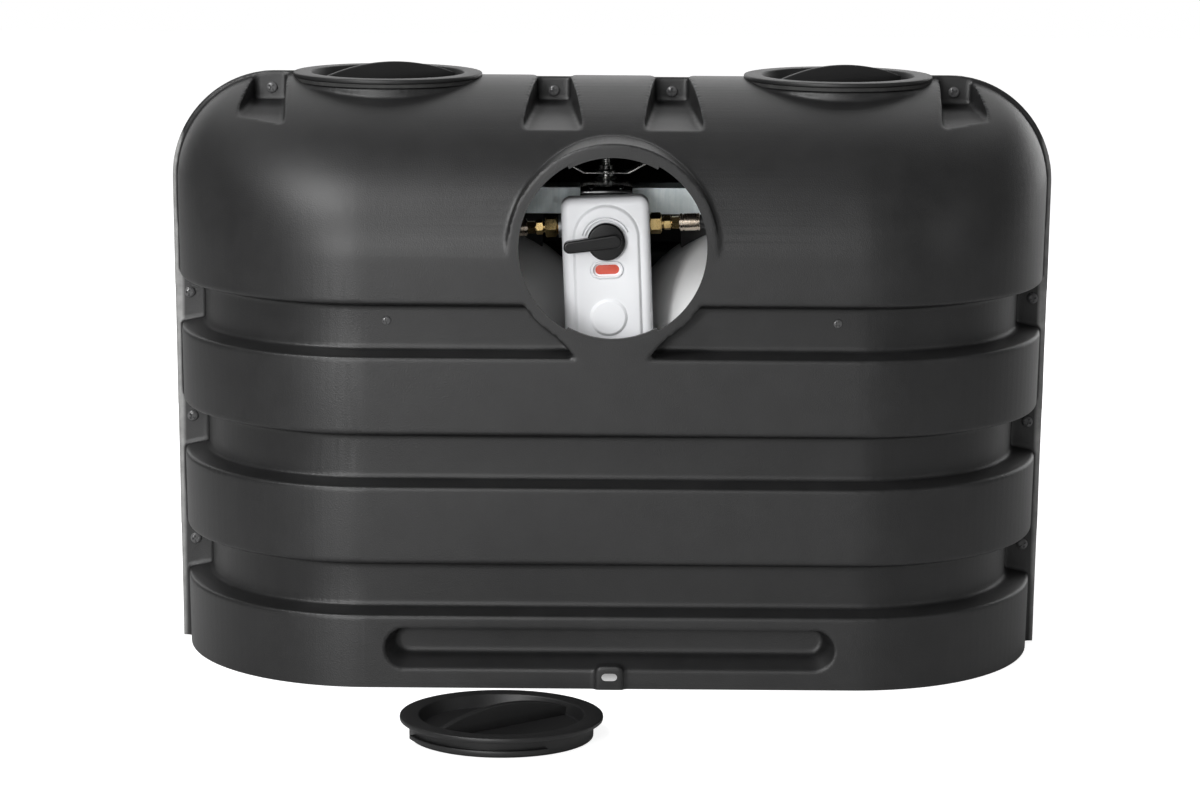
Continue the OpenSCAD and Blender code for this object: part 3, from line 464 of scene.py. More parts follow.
def slab(bm, outline, low, high, radius=0.0, segments=2):
    """A flat outline in XY, raised from low to high, with its long edges softened."""
    face = bm.faces.new([bm.verts.new((p[0], p[1], low)) for p in outline])
    made = bmesh.ops.extrude_face_region(bm, geom=[face])["geom"]
    top = [v for v in made if isinstance(v, bmesh.types.BMVert)]
    bmesh.ops.translate(bm, verts=top, vec=(0, 0, high - low))
    bmesh.ops.recalc_face_normals(bm, faces=bm.faces)
    if radius:
        rims = [e for e in bm.edges if len(e.link_faces) == 2 and e.calc_face_angle(0) > RIM_ANGLE
                and abs(e.verts[0].co.z - e.verts[1].co.z) < 1e-6]
        soften(bm, rims, radius, segments)
    return bm

def arc(radius, start, end, steps, centre=(0, 0)):
    turns = [math.radians(start + (end - start) * k / steps) for k in range(steps + 1)]
    return [(centre[0] + radius * math.cos(a), centre[1] + radius * math.sin(a)) for a in turns]

def obround(length, width, centre=(0, 0), steps=12):
    half, r, (x, y) = (length - width) / 2, width / 2, centre
    return arc(r, -90, 90, steps, (x + half, y)) + arc(r, 90, 270, steps, (x - half, y))

def rounded_box(width, height, r, centre=(0, 0), steps=6):
    x, y = width / 2 - r, height / 2 - r
    return [p for k, (sx, sy) in enumerate(((1, 1), (-1, 1), (-1, -1), (1, -1)))
            for p in arc(r, 90 * k, 90 * k + 90, steps, (centre[0] + sx * x, centre[1] + sy * y))]

def add(bm, other, place=None):
    """Joins another bmesh into this one, moved by a matrix."""
    if place is not None:
        move(other, place)
        if place.determinant() < 0:
            bmesh.ops.reverse_faces(other, faces=other.faces)
    mesh = bpy.data.meshes.new("joining")
    other.to_mesh(mesh)
    other.free()
    bm.from_mesh(mesh)
    bpy.data.meshes.remove(mesh)

def move(bm, matrix):
    bmesh.ops.transform(bm, matrix=matrix, verts=bm.verts)

def at(x, y, z):
    return Matrix.Translation((x, y, z))

def turned(degrees, axis="Z"):
    return Matrix.Rotation(math.radians(degrees), 4, axis)

FRONT = Matrix(((1, 0, 0, 0), (0, 0, -1, 0), (0, 1, 0, 0), (0, 0, 0, 1)))  # stands a shape on Z out to -Y

# %% [markdown]
# ## From bmesh to a finished piece
# Modifiers are applied by reading the evaluated mesh, so that a boolean or a remesh can be followed by
# more work on the same shape. Angles over 35 degrees stay crisp, or a little more or less on some
# pieces, and the rest is shaded smoothly.

# %% Finishing helpers
def as_object(name, bm):
    mesh = bpy.data.meshes.new(name)
    bm.to_mesh(mesh)
    bm.free()
    piece = bpy.data.objects.new(name, mesh)
    bpy.context.scene.collection.objects.link(piece)
    return piece

def opened(piece):
    """The piece's mesh as a bmesh."""
    bm = bmesh.new()
    bm.from_mesh(piece.data)
    return bm

def put_back(bm, piece):
    bm.to_mesh(piece.data)
    bm.free()

def taken(piece):
    """The piece's mesh as a bmesh, with the piece itself removed."""
    bm = opened(piece)
    bpy.data.objects.remove(piece)
    return bm

def apply_modifier(piece, kind, **settings):
    modifier = piece.modifiers.new(kind.lower(), kind)
    for key, value in settings.items():
        setattr(modifier, key, value)
    evaluated = piece.evaluated_get(bpy.context.evaluated_depsgraph_get())
    mesh = bpy.data.meshes.new_from_object(evaluated)
    piece.modifiers.clear()
    old, piece.data = piece.data, mesh
    bpy.data.meshes.remove(old)

def combine(piece, tool_bm, place=None, operation="DIFFERENCE"):
    """Cuts the tool out of the piece, or joins it on."""
    if place is not None:
        move(tool_bm, place)
    tool = as_object("tool", tool_bm)
    apply_modifier(piece, "BOOLEAN", object=tool, operation=operation, solver="MANIFOLD")
    if len(piece.data.polygons) < 4:
        print("  a join on", piece.name, "failed")
    bpy.data.objects.remove(tool)

CRISP = 35  # degrees, past which an edge stays sharp

def finish(piece, body, slot, material, stands_for, crisp=CRISP, edge_radius=0.0):
    """Scales the piece to metres, shades it, gives it its finish and lets it ride on its body."""
    piece.data.transform(Matrix.Scale(MM, 4))
    piece.data.shade_smooth()
    piece.data.set_sharp_from_angle(angle=math.radians(crisp))
    piece.data.materials.clear()
    piece.data.materials.append(material)
    if edge_radius:
        edge = piece.modifiers.new("edges", "BEVEL")
        edge.width, edge.segments = edge_radius * MM, 2
        edge.limit_method, edge.angle_limit = "ANGLE", math.radians(CRISP)
        edge.harden_normals = True
    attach(piece, body)
    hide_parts(*stands_for)
    print(f"{piece.name}: {len(piece.data.polygons)} faces")

# %% [markdown]
# ## The cover's form
# Both halves share one form. Its sides lean outward a little, three bands are set in by 20 mm, and above
# them a shoulder like a quarter of an ellipse closes over the top. A stack of outlines, one for each
# height, describes all of it, and a loft skins them. It is left a little long past the seam and the
# floor, so that a clean cut can end it there.

# %% The cover's sizes
BAND_HALF, HALF_DEPTH, TOP = 346.6, 184.1, 468.0
LEAN = 8.3                       # how far each side leans out from the floor to the shoulder
DOME_Z, DOME_H = 339.4, 128.6    # front and back: where the rounding starts, and its height
SHOULDER_Z, SHOULDER_X = 384.0, 274.9
SHOULDER_W, SHOULDER_H = 80, 84  # half axes of the rounding at the sides
PLAN_X = 192.6                   # middle of the rounded ends, seen from above
RECESSES = (58.5, 161.5, 264.5)
RECESS_H, RECESS_D = 41.0, 20.0
WALL = 3.0
WINDOW_Z, HOLE_R, LUG_R, RING_W = 351.0, 73.5, 71.0, 8.7
LID_X, LAND_Z, LID_TOP = 183.5, 463.9, 470.8
PAST_SEAM, PAST_FLOOR = 6.0, -6  # how far the form runs on before it is cut

def half_width(z):
    if z <= SHOULDER_Z:
        return BAND_HALF + LEAN * z / SHOULDER_Z
    return SHOULDER_X + SHOULDER_W * math.sqrt(max(0, 1 - ((z - SHOULDER_Z) / SHOULDER_H) ** 2))

def half_depth(z):
    return HALF_DEPTH * math.sqrt(max(0, 1 - (max(0, z - DOME_Z) / DOME_H) ** 2))

def quarter(steps):
    """Angles from 0 to 90 degrees, in radians."""
    return [math.pi / 2 * k / steps for k in range(steps + 1)]

def outline(z, inset):
    """The front half's outline at one height, carried on past the seam."""
    w, d = half_width(z) - PLAN_X - inset, max(0.3, half_depth(z) - inset)
    corner = [(PLAN_X + w * math.cos(a), -d * math.sin(a), z) for a in quarter(30)]
    mirrored = [(-x, y, z) for x, y, z in reversed(corner)]
    return [(PLAN_X + w, PAST_SEAM, z)] + corner + mirrored + [(-PLAN_X - w, PAST_SEAM, z)]

def levels():
    """(height, inset) from below the floor to the top, with the ledges' radii."""
    walls = [(PAST_FLOOR, 0)]
    for z in RECESSES:
        walls += [(z - 0.5, 0), (z + 3.5, RECESS_D), (z + RECESS_H - 2.5, RECESS_D), (z + RECESS_H + 0.5, 0)]
    walls = rounded([(z, i, 0) for z, i in walls + [(DOME_Z, 0)]], 2.2, 4)
    dome = [(DOME_Z + DOME_H * math.sin(a), 0) for a in quarter(44)[1:]]
    return [(p[0], p[1]) for p in walls] + dome

# %% [markdown]
# ## Pockets, ring, panel and flange
# Round each top screw the shoulder is pressed down into a wedge-shaped pocket, so that a screwdriver
# reaches it. The window stands in a round ring, and a panel carries that ring down across the highest
# recess. Each is a simple closed shape that is cut out of the form or laid into it.

# %% The cover's features
def wedge(corners, top=520.0, radius=3.0):
    """A tool with a sloping floor through four corners: back left, back right, front right, front left."""
    bm = bmesh.new()
    cube = bmesh.ops.create_cube(bm, size=2)["verts"]
    spots = {(-1, 1): corners[0], (1, 1): corners[1], (1, -1): corners[2], (-1, -1): corners[3]}
    for v in cube:
        x, y, z = spots[(round(v.co.x), round(v.co.y))]
        v.co = (x, y, z if v.co.z < 0 else top)
    edges = [e for e in bm.edges if min(e.verts[0].co.z, e.verts[1].co.z) < top - 1]
    back = [e for e in edges if all(v.co.y > -5 for v in e.verts)]
    soften(bm, [e for e in edges if e not in back], radius, 4)
    bmesh.ops.recalc_face_normals(bm, faces=bm.faces)
    return bm

NEAR_X, FAR_X = 48, 277.9  # the top screws, from the middle
NEAR_POCKET = ((-13.5, -3.5, -19.5), (13.5, -3.5, -19.5), (24, -122, -31.6), (-24, -122, -31.6))
FAR_POCKET = ((-12, -3.5, -20.5), (14, -3.5, -20.5), (24, -74, -27), (-17, -107, -31))

def pocket_tools():
    for s in (-1, 1):
        yield wedge([(NEAR_X * s + x, y, TOP + z) for x, y, z in NEAR_POCKET])
        far = [(s * (FAR_X + x), y, TOP + z) for x, y, z in FAR_POCKET]
        if s < 0:
            far = [far[1], far[0], far[3], far[2]]
        yield wedge(far)

LONG_RECESS_Y = -165.1  # its floor

def long_recess_tool():
    bm = bmesh.new()
    mouth, floor = obround(356, 33, (0, 31.5), 16), obround(338, 22, (0, 36.5), 16)
    levels_of_y = ((mouth, -190), (mouth, -HALF_DEPTH), (floor, LONG_RECESS_Y))
    loft(bm, [[(x, y, z) for x, z in shape] for shape, y in levels_of_y])
    rim = [e for e in bm.edges if all(abs(v.co.y - LONG_RECESS_Y) < 0.01 for v in e.verts)]
    soften(bm, rim, 1.6, 3)
    return bm

FLANGE_T, FLANGE_W, FLANGE_LEAN, FLANGE_H = 3.5, 7, 6.2, 87.1

def flange_outline():
    half = BAND_HALF + FLANGE_W + FLANGE_LEAN
    edge = [(SHOULDER_X + (half - SHOULDER_X) * math.cos(a), SHOULDER_Z + FLANGE_H * math.sin(a))
            for a in quarter(24)]
    right = [(BAND_HALF + FLANGE_W, PAST_FLOOR)] + edge + [(205, SHOULDER_Z + FLANGE_H), (125, TOP)]
    return right + [(-x, z) for x, z in reversed(right)]

def disc(radius, low, high, steps=128):
    bm = bmesh.new()
    return slab(bm, arc(radius, 0, 360 * (1 - 1 / steps), steps - 1), low, high)

# %% [markdown]
# ## Two halves of the cover
# The features are joined to the form and remeshed at an even size. That turns every sharp meeting line
# into the small radius that a moulded sheet has, which no amount of cutting alone gives. Flat areas are
# thinned again, the solid is cut at the seam and the floor, and solidify gives the sheet its wall. The
# three openings are cut last, so their edges stay round.

# %% Make a half
VOXEL = 1.6
SKIN_TRIANGLES = 110000

def smooth_solid(piece):
    apply_modifier(piece, "REMESH", mode="VOXEL", voxel_size=VOXEL, adaptivity=0.0)
    bm = opened(piece)
    for _ in range(2):
        bmesh.ops.smooth_vert(bm, verts=bm.verts, factor=0.5, use_axis_x=True, use_axis_y=True,
                              use_axis_z=True)
    put_back(bm, piece)
    triangles = len(piece.data.polygons) * 2
    apply_modifier(piece, "DECIMATE", ratio=min(1.0, SKIN_TRIANGLES / triangles))

def half_cover(name, front):
    bm = bmesh.new()
    loft(bm, [outline(z, inset) for z, inset in levels()])
    piece = as_object(name, bm)
    for tool in pocket_tools():
        combine(piece, tool)
    if front:
        combine(piece, long_recess_tool())
    bm = opened(piece)
    add(bm, slab(bmesh.new(), flange_outline(), -PAST_SEAM, FLANGE_T), FRONT)
    for s in (-1, 1):
        add(bm, disc(HOLE_R + 3, 380, LAND_Z), at(s * LID_X, 0, 0))
    if front:
        add(bm, disc(HOLE_R + RING_W, 60, HALF_DEPTH), at(0, 0, WINDOW_Z) @ FRONT)
        panel = [(-67, 308), (67, 308), (26, 262), (-26, 262)]
        add(bm, slab(bmesh.new(), panel, 120, HALF_DEPTH), FRONT)
        add(bm, slab(bmesh.new(), rounded_box(22, 40, 5, (0, -1)), 170, HALF_DEPTH + 3.5), FRONT)
    put_back(bm, piece)
    smooth_solid(piece)
    bm = opened(piece)
    for past in ((0, 1, 0), (0, 0, -1)):
        geometry = bm.verts[:] + bm.edges[:] + bm.faces[:]
        bmesh.ops.bisect_plane(bm, geom=geometry, dist=0.01, plane_co=(0, 0, 0), plane_no=past,
                               clear_outer=True)
    put_back(bm, piece)
    apply_modifier(piece, "SOLIDIFY", thickness=WALL, offset=-1.0, use_even_offset=False, use_rim=True)
    for s in (-1, 1):
        combine(piece, disc(HOLE_R, 400, 500), at(s * LID_X, 0, 0))
    if front:
        combine(piece, disc(HOLE_R, 150, 200), at(0, 0, WINDOW_Z) @ FRONT)
        combine(piece, slab(bmesh.new(), obround(12.5, 6.6, (0, 9.8)), 150, 200), FRONT)
    return piece

def lug_pair(height):
    """Two bayonet lugs on the inside of an opening, from z = 0 down."""
    bm = bmesh.new()
    for middle in (90, 270):
        start, end = middle - 29, middle + 29
        slab(bm, arc(LUG_R, start, end, 16) + arc(HOLE_R + 1, end, start, 16), -height, 0)
    return bm

def make_cover():
    front, rear = half_cover("cover_front_half", True), half_cover("cover_rear_half", False)
    for piece in (front, rear):
        bm = opened(piece)
        for s in (-1, 1):
            lugs = lug_pair(3.0)
            move(lugs, at(s * LID_X, 0, LAND_Z - 0.3))
            bmesh.ops.delete(lugs, geom=[v for v in lugs.verts if v.co.y > 0], context="VERTS")
            add(bm, lugs)
        if piece is front:
            add(bm, lug_pair(3.6), at(0, -HALF_DEPTH + 0.3, WINDOW_Z) @ FRONT)
        else:
            bmesh.ops.scale(bm, vec=(1, -1, 1), verts=bm.verts)
            bmesh.ops.reverse_faces(bm, faces=bm.faces)
        put_back(bm, piece)
    finish(front, "cover", "cover_plastic", cover_plastic, ["front_shell"], crisp=50)
    finish(rear, "cover", "cover_plastic", cover_plastic, ["rear_shell"], crisp=50)

make_cover()

# %% [markdown]
# ## Twist-lock lids
# A lid is turned round an axis, so a profile spun through a full circle gives its rim, its skirt and its
# dish. The arched grip across the dish is a flat outline raised to its thickness. Two tabs on the skirt
# pass between the opening's lugs and grip below them when the lid is turned.

# %% Lids
def rounded_profile(profile, radius=1.3):
    return [(p[0], p[1]) for p in rounded([(r, z, 0) for r, z in profile], radius, 3)]

def lid_body():
    profile = [(0, -13), (64, -13), (66.6, -15), (66.6, -16.5), (69.6, -16.5), (69.6, -3.7), (76.9, -3.7),
               (76.9, 0), (62.4, 0), (60.4, -9.6), (0, -9.9)]
    return spun(bmesh.new(), rounded_profile(profile), 128)

GRIP_L, GRIP_T, GRIP_RISE, GRIP_ARCH, GRIP_FOOT = 127.0, 5.0, 8.0, 12.0, -11.0

def grip():
    """The arched grip: its ends stand in the dish, and its crown rises above the rim."""
    half = GRIP_L / 2
    radius = (half ** 2 + GRIP_ARCH ** 2) / (2 * GRIP_ARCH)
    spots = [half * (1 - 2 * k / 36) for k in range(37)]
    crown = [(x, GRIP_RISE - radius + math.sqrt(radius ** 2 - x * x)) for x in spots]
    edge = [(-half, GRIP_FOOT), (half, GRIP_FOOT)] + crown
    bm = slab(bmesh.new(), edge, -GRIP_T / 2, GRIP_T / 2, 1.2, 3)
    move(bm, FRONT)
    return bm

def make_lid(name, place, turn, body):
    bm = lid_body()
    for middle in (0, 180):
        tab = arc(68, middle - 50, middle + 50, 24) + arc(72.9, middle + 50, middle - 50, 24)
        add(bm, slab(bmesh.new(), tab, -13.9, -10.6, 0.6))
    add(bm, grip(), turned(turn))
    move(bm, place)
    finish(as_object(name + "_moulding", bm), body, "cover_plastic", lid_plastic, [name], crisp=40)

def make_lids():
    make_lid("lid_left", at(-LID_X, 0, LID_TOP), 32, "lid_left")
    make_lid("lid_right", at(LID_X, 0, LID_TOP), 32, "lid_right")
    make_lid("lid_front", at(-82, -332.7, 16.5) @ turned(70), -30, "lid_front")

make_lids()

# %% [markdown]
# ## Gas cylinders
# A cylinder is a deep-drawn steel can with domed ends and a weld round its middle. It is a body of
# revolution, so one profile is spun; the weld is a low swelling in that profile.

# %% Cylinders
CYL_X, CYL_R = 170.0, 152.5
CAN_TOP, DOME, LOW_Z, BOSS_R = 270.0, 90.0, 11.0, 20

def cylinder_profile():
    down = [math.pi / 2 * (1 - k / 24) for k in range(25)]
    bottom = [(CYL_R * math.cos(a), LOW_Z + DOME - DOME * math.sin(a)) for a in down]
    weld = [(CYL_R, 183), (CYL_R + 0.9, 186), (CYL_R + 1.1, 189), (CYL_R + 0.9, 192), (CYL_R, 195)]
    stop = math.acos(BOSS_R / CYL_R)
    up = [stop * k / 28 for k in range(29)]
    top = [(CYL_R * math.cos(a), CAN_TOP + DOME * math.sin(a)) for a in up]
    boss = [(BOSS_R, 368), (9.6, 368), (9.6, 357)]
    return bottom + weld + top + boss

def make_cylinders():
    for s, side in ((-1, "left"), (1, "right")):
        bm = spun(bmesh.new(), cylinder_profile(), 128)
        bmesh.ops.translate(bm, verts=bm.verts, vec=(s * CYL_X, 0, 0))
        finish(as_object(f"vessel_{side}_steel", bm), "rack", "cylinder_white", white_paint,
               [f"cylinder_{side}"])

make_cylinders()

# %% [markdown]
# ## Regulator cover
# The changeover regulator hides under a light grey moulded cover that leans on its bracket. The cover is
# a rounded box with a raised panel, whose top is an arch round the knob. The box is an outline raised to
# its depth and its front edge gets a wide radius. All of it is modelled lying on its back, with the way
# out along Z, and one matrix stands it up and leans it over.

# %% Regulator cover
ROD_X = -5
TO_REGULATOR = at(ROD_X, 0, 349.5) @ turned(-2.4, "Y")
STAND = TO_REGULATOR @ FRONT
HOOD_BACK, HOOD_FRONT, PANEL = 97.0, 125.0, 127.5
PAST_PANEL = 135  # where the tools that cut into the panel end
DRUM = (0, -22.8)

def panel_outline(grow=0.0):
    side, low, radius = 25.5 + grow, -88.0 - grow * 0.8, 5.0 + grow
    top = arc(side, 0, 180, 32, (0, 2))
    return top + [(-side, low + radius)] + arc(radius, 180, 270, 6, (-side + radius, low + radius)) \
        + arc(radius, 270, 360, 6, (side - radius, low + radius))

def arc_band(radius, width, low, high, soft=0.0):
    """A curved strip over the knob, from its lower right to its lower left."""
    outer, inner = arc(radius + width / 2, 21, 165, 28), arc(radius - width / 2, 165, 21, 28)
    return slab(bmesh.new(), outer + inner, low, high, soft)

# (length, width, height over the panel) of the rings of the indicator's rim, from outside to inside
BEZEL = ((25.2, 13.2, -2.2), (25.2, 13.2, 0.7), (24.6, 12.6, 1.1), (22.6, 10.6, 1.1), (22.0, 10.0, 0.7),
         (22.0, 10.0, -2.2))

def make_hood():
    bm = slab(bmesh.new(), rounded_box(70, 130, 8, (0, -31), 8), HOOD_BACK, HOOD_FRONT, 6.5, 6)
    piece = as_object("regulator_cover_shell", bm)
    combine(piece, slab(bmesh.new(), rounded_box(65, 125, 5, (0, -31), 6), HOOD_BACK - 1, HOOD_FRONT - 3.0))
    bm = opened(piece)
    sizes = ((1.4, HOOD_FRONT - 2), (1.4, HOOD_FRONT - 0.1), (0.8, HOOD_FRONT + 0.3), (-0.2, PANEL - 0.8),
             (-0.8, PANEL - 0.2), (-1.9, PANEL))
    add(bm, loft(bmesh.new(), [[(x, y, z) for x, y in panel_outline(grow)] for grow, z in sizes]))
    put_back(bm, piece)
    combine(piece, slab(bmesh.new(), obround(27.4, 15.4, DRUM), PANEL - 1.8, PAST_PANEL))
    combine(piece, slab(bmesh.new(), obround(19, 7.5, DRUM), 115, PAST_PANEL))
    for radius in (16.5, 19.1):
        combine(piece, arc_band(radius, 1.1, PANEL - 1.9, PAST_PANEL))
    rim = bmesh.new()
    band(rim, [[(x, y, PANEL + rise) for x, y in obround(length, width, DRUM)]
               for length, width, rise in BEZEL])
    bmesh.ops.recalc_face_normals(rim, faces=rim.faces)
    bm = opened(piece)
    add(bm, rim)
    boss = [(0, PANEL + 1.8), (12.8, PANEL + 1.7), (15.2, PANEL - 0.1), (15.2, PANEL - 1.5)]
    add(bm, spun(bmesh.new(), rounded_profile(boss), 64), at(0, -61, 0))
    add(bm, arc_band(17.8, 1.5, PANEL - 2.2, PANEL + 0.9, 0.35))
    move(bm, STAND)
    put_back(bm, piece)
    finish(piece, "rack", "grey_plastic", grey_plastic, ["regulator_cover"], crisp=40)

make_hood()

# %% [markdown]
# ## Selector knob, indicator
# The knob is a low disc with a lever that points at the chosen cylinder. The lever's face is sunk inside a
# narrow rim, as moulded levers are, to keep the plastic even in thickness. Under it a red drum shows
# through an oval window.

# %% Knob and indicator
def lever_outline(inset):
    """The lever seen from the front: a round tip far left and a rounder end over the hub."""
    tip, hub = 4.9, 5.6
    return arc(tip - inset, 90, 270, 12, (tip - 34, 0)) + arc(hub - inset, 270, 450, 12, (12.5 - hub, 0))

def make_knob():
    base = PANEL + 0.6
    side = [(0, base), (15, base), (15, base + 4.8), (13.8, base + 6.2), (0, base + 6.2)]
    bm = spun(bmesh.new(), rounded_profile(side, 0.7), 72)
    lever = as_object("lever", slab(bmesh.new(), lever_outline(0), base + 1.0, base + 11.6, 1.5, 4))
    combine(lever, slab(bmesh.new(), lever_outline(1.9), base + 10.6, base + 20))
    add(bm, taken(lever), turned(5.5))
    move(bm, STAND)
    finish(as_object("selector_lever", bm), "selector", "knob_plastic", knob_plastic, ["selector_knob"],
           crisp=40)

def make_indicator():
    bm = slab(bmesh.new(), obround(18.9, 7.4, DRUM), PANEL - 2.4, PANEL - 0.9, 0.5, 3)
    move(bm, STAND)
    finish(as_object("indicator_window", bm), "rack", "clear_lens", clear_lens, ["indicator_lens"], crisp=40)
    lower = [(0, -14), (1.5, -14), (1.5, -10.5), (4.8, -10.5)]
    upper = [(r, -z) for r, z in reversed(lower)]
    bm = spun(bmesh.new(), rounded_profile(lower + upper, 0.3), 48)
    move(bm, TO_REGULATOR @ at(DRUM[0], -115, DRUM[1]) @ turned(90, "Y"))
    finish(as_object("indicator_drum_red", bm), "indicator", "red_plastic", red_plastic, ["indicator_drum"])

make_knob()
make_indicator()

# %% [markdown]
# ## Brass fittings
# From the regulator outward come a neck, a large hexagon, a small hexagon, and the hose's end: a brass
# insert with a hexagon of its own and a plated sleeve that is crimped over the rubber. Each hexagon has
# turned chamfers at its ends, which come from keeping only what a hexagonal bar and a chamfered disc share.

# %% Fittings
def hexagon(across, length, chamfer, turn):
    """A hexagon bar of a length along Z whose corners are turned off at both ends."""
    corner, flat = across / 2 / math.cos(math.radians(30)), across / 2 * 0.97
    turns = [math.radians(60 * k + turn) for k in range(6)]
    edge = [(corner * math.cos(a), corner * math.sin(a)) for a in turns]
    piece = as_object("hexagon", slab(bmesh.new(), edge, 0, length))
    wide = corner + 0.05
    profile = [(0, 0), (flat, 0), (wide, chamfer), (wide, length - chamfer), (flat, length), (0, length)]
    combine(piece, spun(bmesh.new(), profile, 48), operation="INTERSECT")
    return taken(piece)

def inlet_axis(side):
    """Out along the regulator's inlet, with Z as the way out."""
    return TO_REGULATOR @ at(-1.8, -84, 7.5) @ turned(90 * side, "Y")

# (radius, distance out along the inlet), in the order in which they follow each other
NECK = [(2.6, 24), (5, 24), (5, 31), (6.2, 33), (6.2, 36.4), (5, 37.6), (2.6, 37.6)]
NUT_NECK = [(3.3, 43), (4.4, 43), (4.4, 48.6), (3.3, 48.6)]
INSERT = [(2.2, 51), (3.2, 51), (3.2, 60.9), (2.2, 60.9)]
CRIMP_RING = [(2.6, 60.6), (5.6, 60.6), (5.6, 61.2), (6.6, 61.2), (7, 61.5), (7, 63.2), (6.4, 63.5),
              (6.4, 64.5)]
SLEEVE = [(6.9, 64.7), (6.9, 74.6), (6.5, 74.8)]
FLARE = [(6.5, 75.4), (7, 75.7), (7, 76.6), (6.6, 77), (5.4, 77), (5.4, 70)]

def fitting(name, bm, side, slot, node):
    move(bm, inlet_axis(side))
    finish(as_object(name, bm), "rack", slot, FINISHES[slot], [node])

def make_fittings():
    for s, side in ((-1, "left"), (1, "right")):
        bm = spun(bmesh.new(), rounded_profile(NECK, 0.4), 48)
        add(bm, hexagon(15, 9.3, 1.1, 0 if s > 0 else 20), at(0, 0, 37.2))
        fitting(f"inlet_fitting_{side}_brass", bm, s, "brass", f"inlet_fitting_{side}")
        bm = spun(bmesh.new(), rounded_profile(NUT_NECK, 0.2), 32)
        add(bm, hexagon(10.5, 5.6, 0.7, 10), at(0, 0, 48.3))
        fitting(f"flare_nut_{side}_brass", bm, s, "brass", f"flare_nut_{side}")
        bm = spun(bmesh.new(), INSERT, 32)
        add(bm, hexagon(9.4, 6.1, 0.5, 30), at(0, 0, 54.7))
        fitting(f"ferrule_{side}_insert", bm, s, "brass", f"ferrule_{side}")
        bm = spun(bmesh.new(), CRIMP_RING + SLEEVE + FLARE, 48)
        fitting(f"ferrule_{side}_plated", bm, s, "ferrule_steel", f"ferrule_{side}")

make_fittings()

# %% [markdown]
# ## Screws
# The two halves are joined by pan-head screws with a cross recess. One head is a spun profile with two
# crossed slots cut out, and it is copied to every place with its own turn, because no two real screws
# stop at the same angle.

# %% Screws
SLOT_L, SLOT_W = 0.64, 0.17  # half a slot's length and width, as shares of the head's radius
SLOT_FLOOR = 0.08            # as a share of its height
HEAD_R, HEAD_H, HEAD_Y = 4.6, 3.0, -FLANGE_T - 0.05

def pan_head(radius, height):
    """A head that stands on z = 0, with its cross recess and a short shank below."""
    crown = [(radius * math.cos(a) ** 0.6, height * (0.35 + 0.65 * math.sin(a))) for a in quarter(6)]
    profile = [(0, -4), (radius * 0.5, -4), (radius * 0.5, 0), (radius, 0)] + crown[:-1] + [(0, height)]
    piece = as_object("pan_head", spun(bmesh.new(), profile, 32))
    x, y = radius * SLOT_L, radius * SLOT_W
    for turn in (0, 90):
        slot = slab(bmesh.new(), [(-x, -y), (x, -y), (x, y), (-x, y)], height * SLOT_FLOOR, height + 1)
        combine(piece, slot, turned(turn))
    return taken(piece)

def screw_set(name, node, spots, radius, height, y):
    bm = bmesh.new()
    for k, (x, z) in enumerate(spots):
        add(bm, pan_head(radius, height), at(x, y, z) @ FRONT @ turned(37 * k + 12))
    finish(as_object(name, bm), "cover", "black_screw", black_screw, [node], crisp=30)

def make_screws():
    def edge_of_flange(z):
        return BAND_HALF + FLANGE_W + FLANGE_LEAN * z / SHOULDER_Z
    heights = [r + RECESS_H / 2 + 3.5 for r in RECESSES]
    sides = [(s * (edge_of_flange(z) - 12), z) for s in (-1, 1) for z in heights]
    tops = [(s * x, TOP - drop) for s in (-1, 1) for x, drop in ((NEAR_X, 11.5), (FAR_X, 10.5))]
    pads = [(s * (CYL_X + 7), RECESSES[2] + 26) for s in (-1, 1)]
    screw_set("side_screw_heads", "side_screws", sides, HEAD_R, HEAD_H, HEAD_Y)
    screw_set("top_screw_heads", "top_screws", tops, HEAD_R, HEAD_H, HEAD_Y)
    screw_set("bumper_screw_heads", "bumper_screws", pads, 3.6, 1.8, -HALF_DEPTH + RECESS_D - 0.05)

make_screws()

# %% [markdown]
# ## Edges on the plain steel parts
# The rack's pieces come from CAD with perfectly sharp edges, and real pressed and turned parts never
# have those. A copy of each node is merged into one skin, its flat areas are dissolved into single faces,
# and a Bevel modifier then rounds every edge that is sharper than 35 degrees.

# %% Softened copies of CAD nodes
BODIES = frame["record"]["behaviour"]["bodies"]
BODY_OF = {node: body for body, members in BODIES.items() for node in members}
SLOT_OF = {part["node"]: part["material_slot"] for part in SUBPARTS}

def soften_node(node, radius):
    bm = bmesh.new()
    bm.from_mesh(nodes[node].data)
    bmesh.ops.remove_doubles(bm, verts=bm.verts, dist=2e-6)
    bmesh.ops.dissolve_limit(bm, angle_limit=math.radians(0.6), verts=bm.verts, edges=bm.edges)
    bmesh.ops.scale(bm, vec=(1 / MM,) * 3, verts=bm.verts)
    slot = SLOT_OF[node]
    finish(as_object(node + "_softened", bm), BODY_OF[node], slot, FINISHES[slot], [node],
           edge_radius=radius)

SOFTENED = {"base_tray": 0.8, "rod_base_nut": 0.5, "hold_down_bar": 0.9, "bar_feet": 1.2, "collar_left": 0.7,
    "collar_right": 0.7, "foot_ring_left": 0.6, "foot_ring_right": 0.6, "valve_left": 0.5, "valve_right": 0.5,
    "handwheel_left": 1.0, "handwheel_right": 1.0, "coupling_nut_left": 0.5, "coupling_nut_right": 0.5,
    "regulator_body": 0.8, "regulator_bonnet": 0.6, "rod_washer": 0.3, "bumper_pads": 1.2,
    "lid_gasket_left": 0.5, "lid_gasket_right": 0.5}
for node, radius in SOFTENED.items():
    soften_node(node, radius)

# %% [markdown]
# ## Bracket, rod and wing nut
# The bracket is one strip of black sheet, bent down in front of the bar, with two small gussets pressed
# into its bend. A flat outline of the strip's edge is raised to its width, so the bend keeps an even
# thickness. The wing nut's wings are one thin bent sheet round a threaded hub, and the rod shows its
# thread as a row of fine ridges.

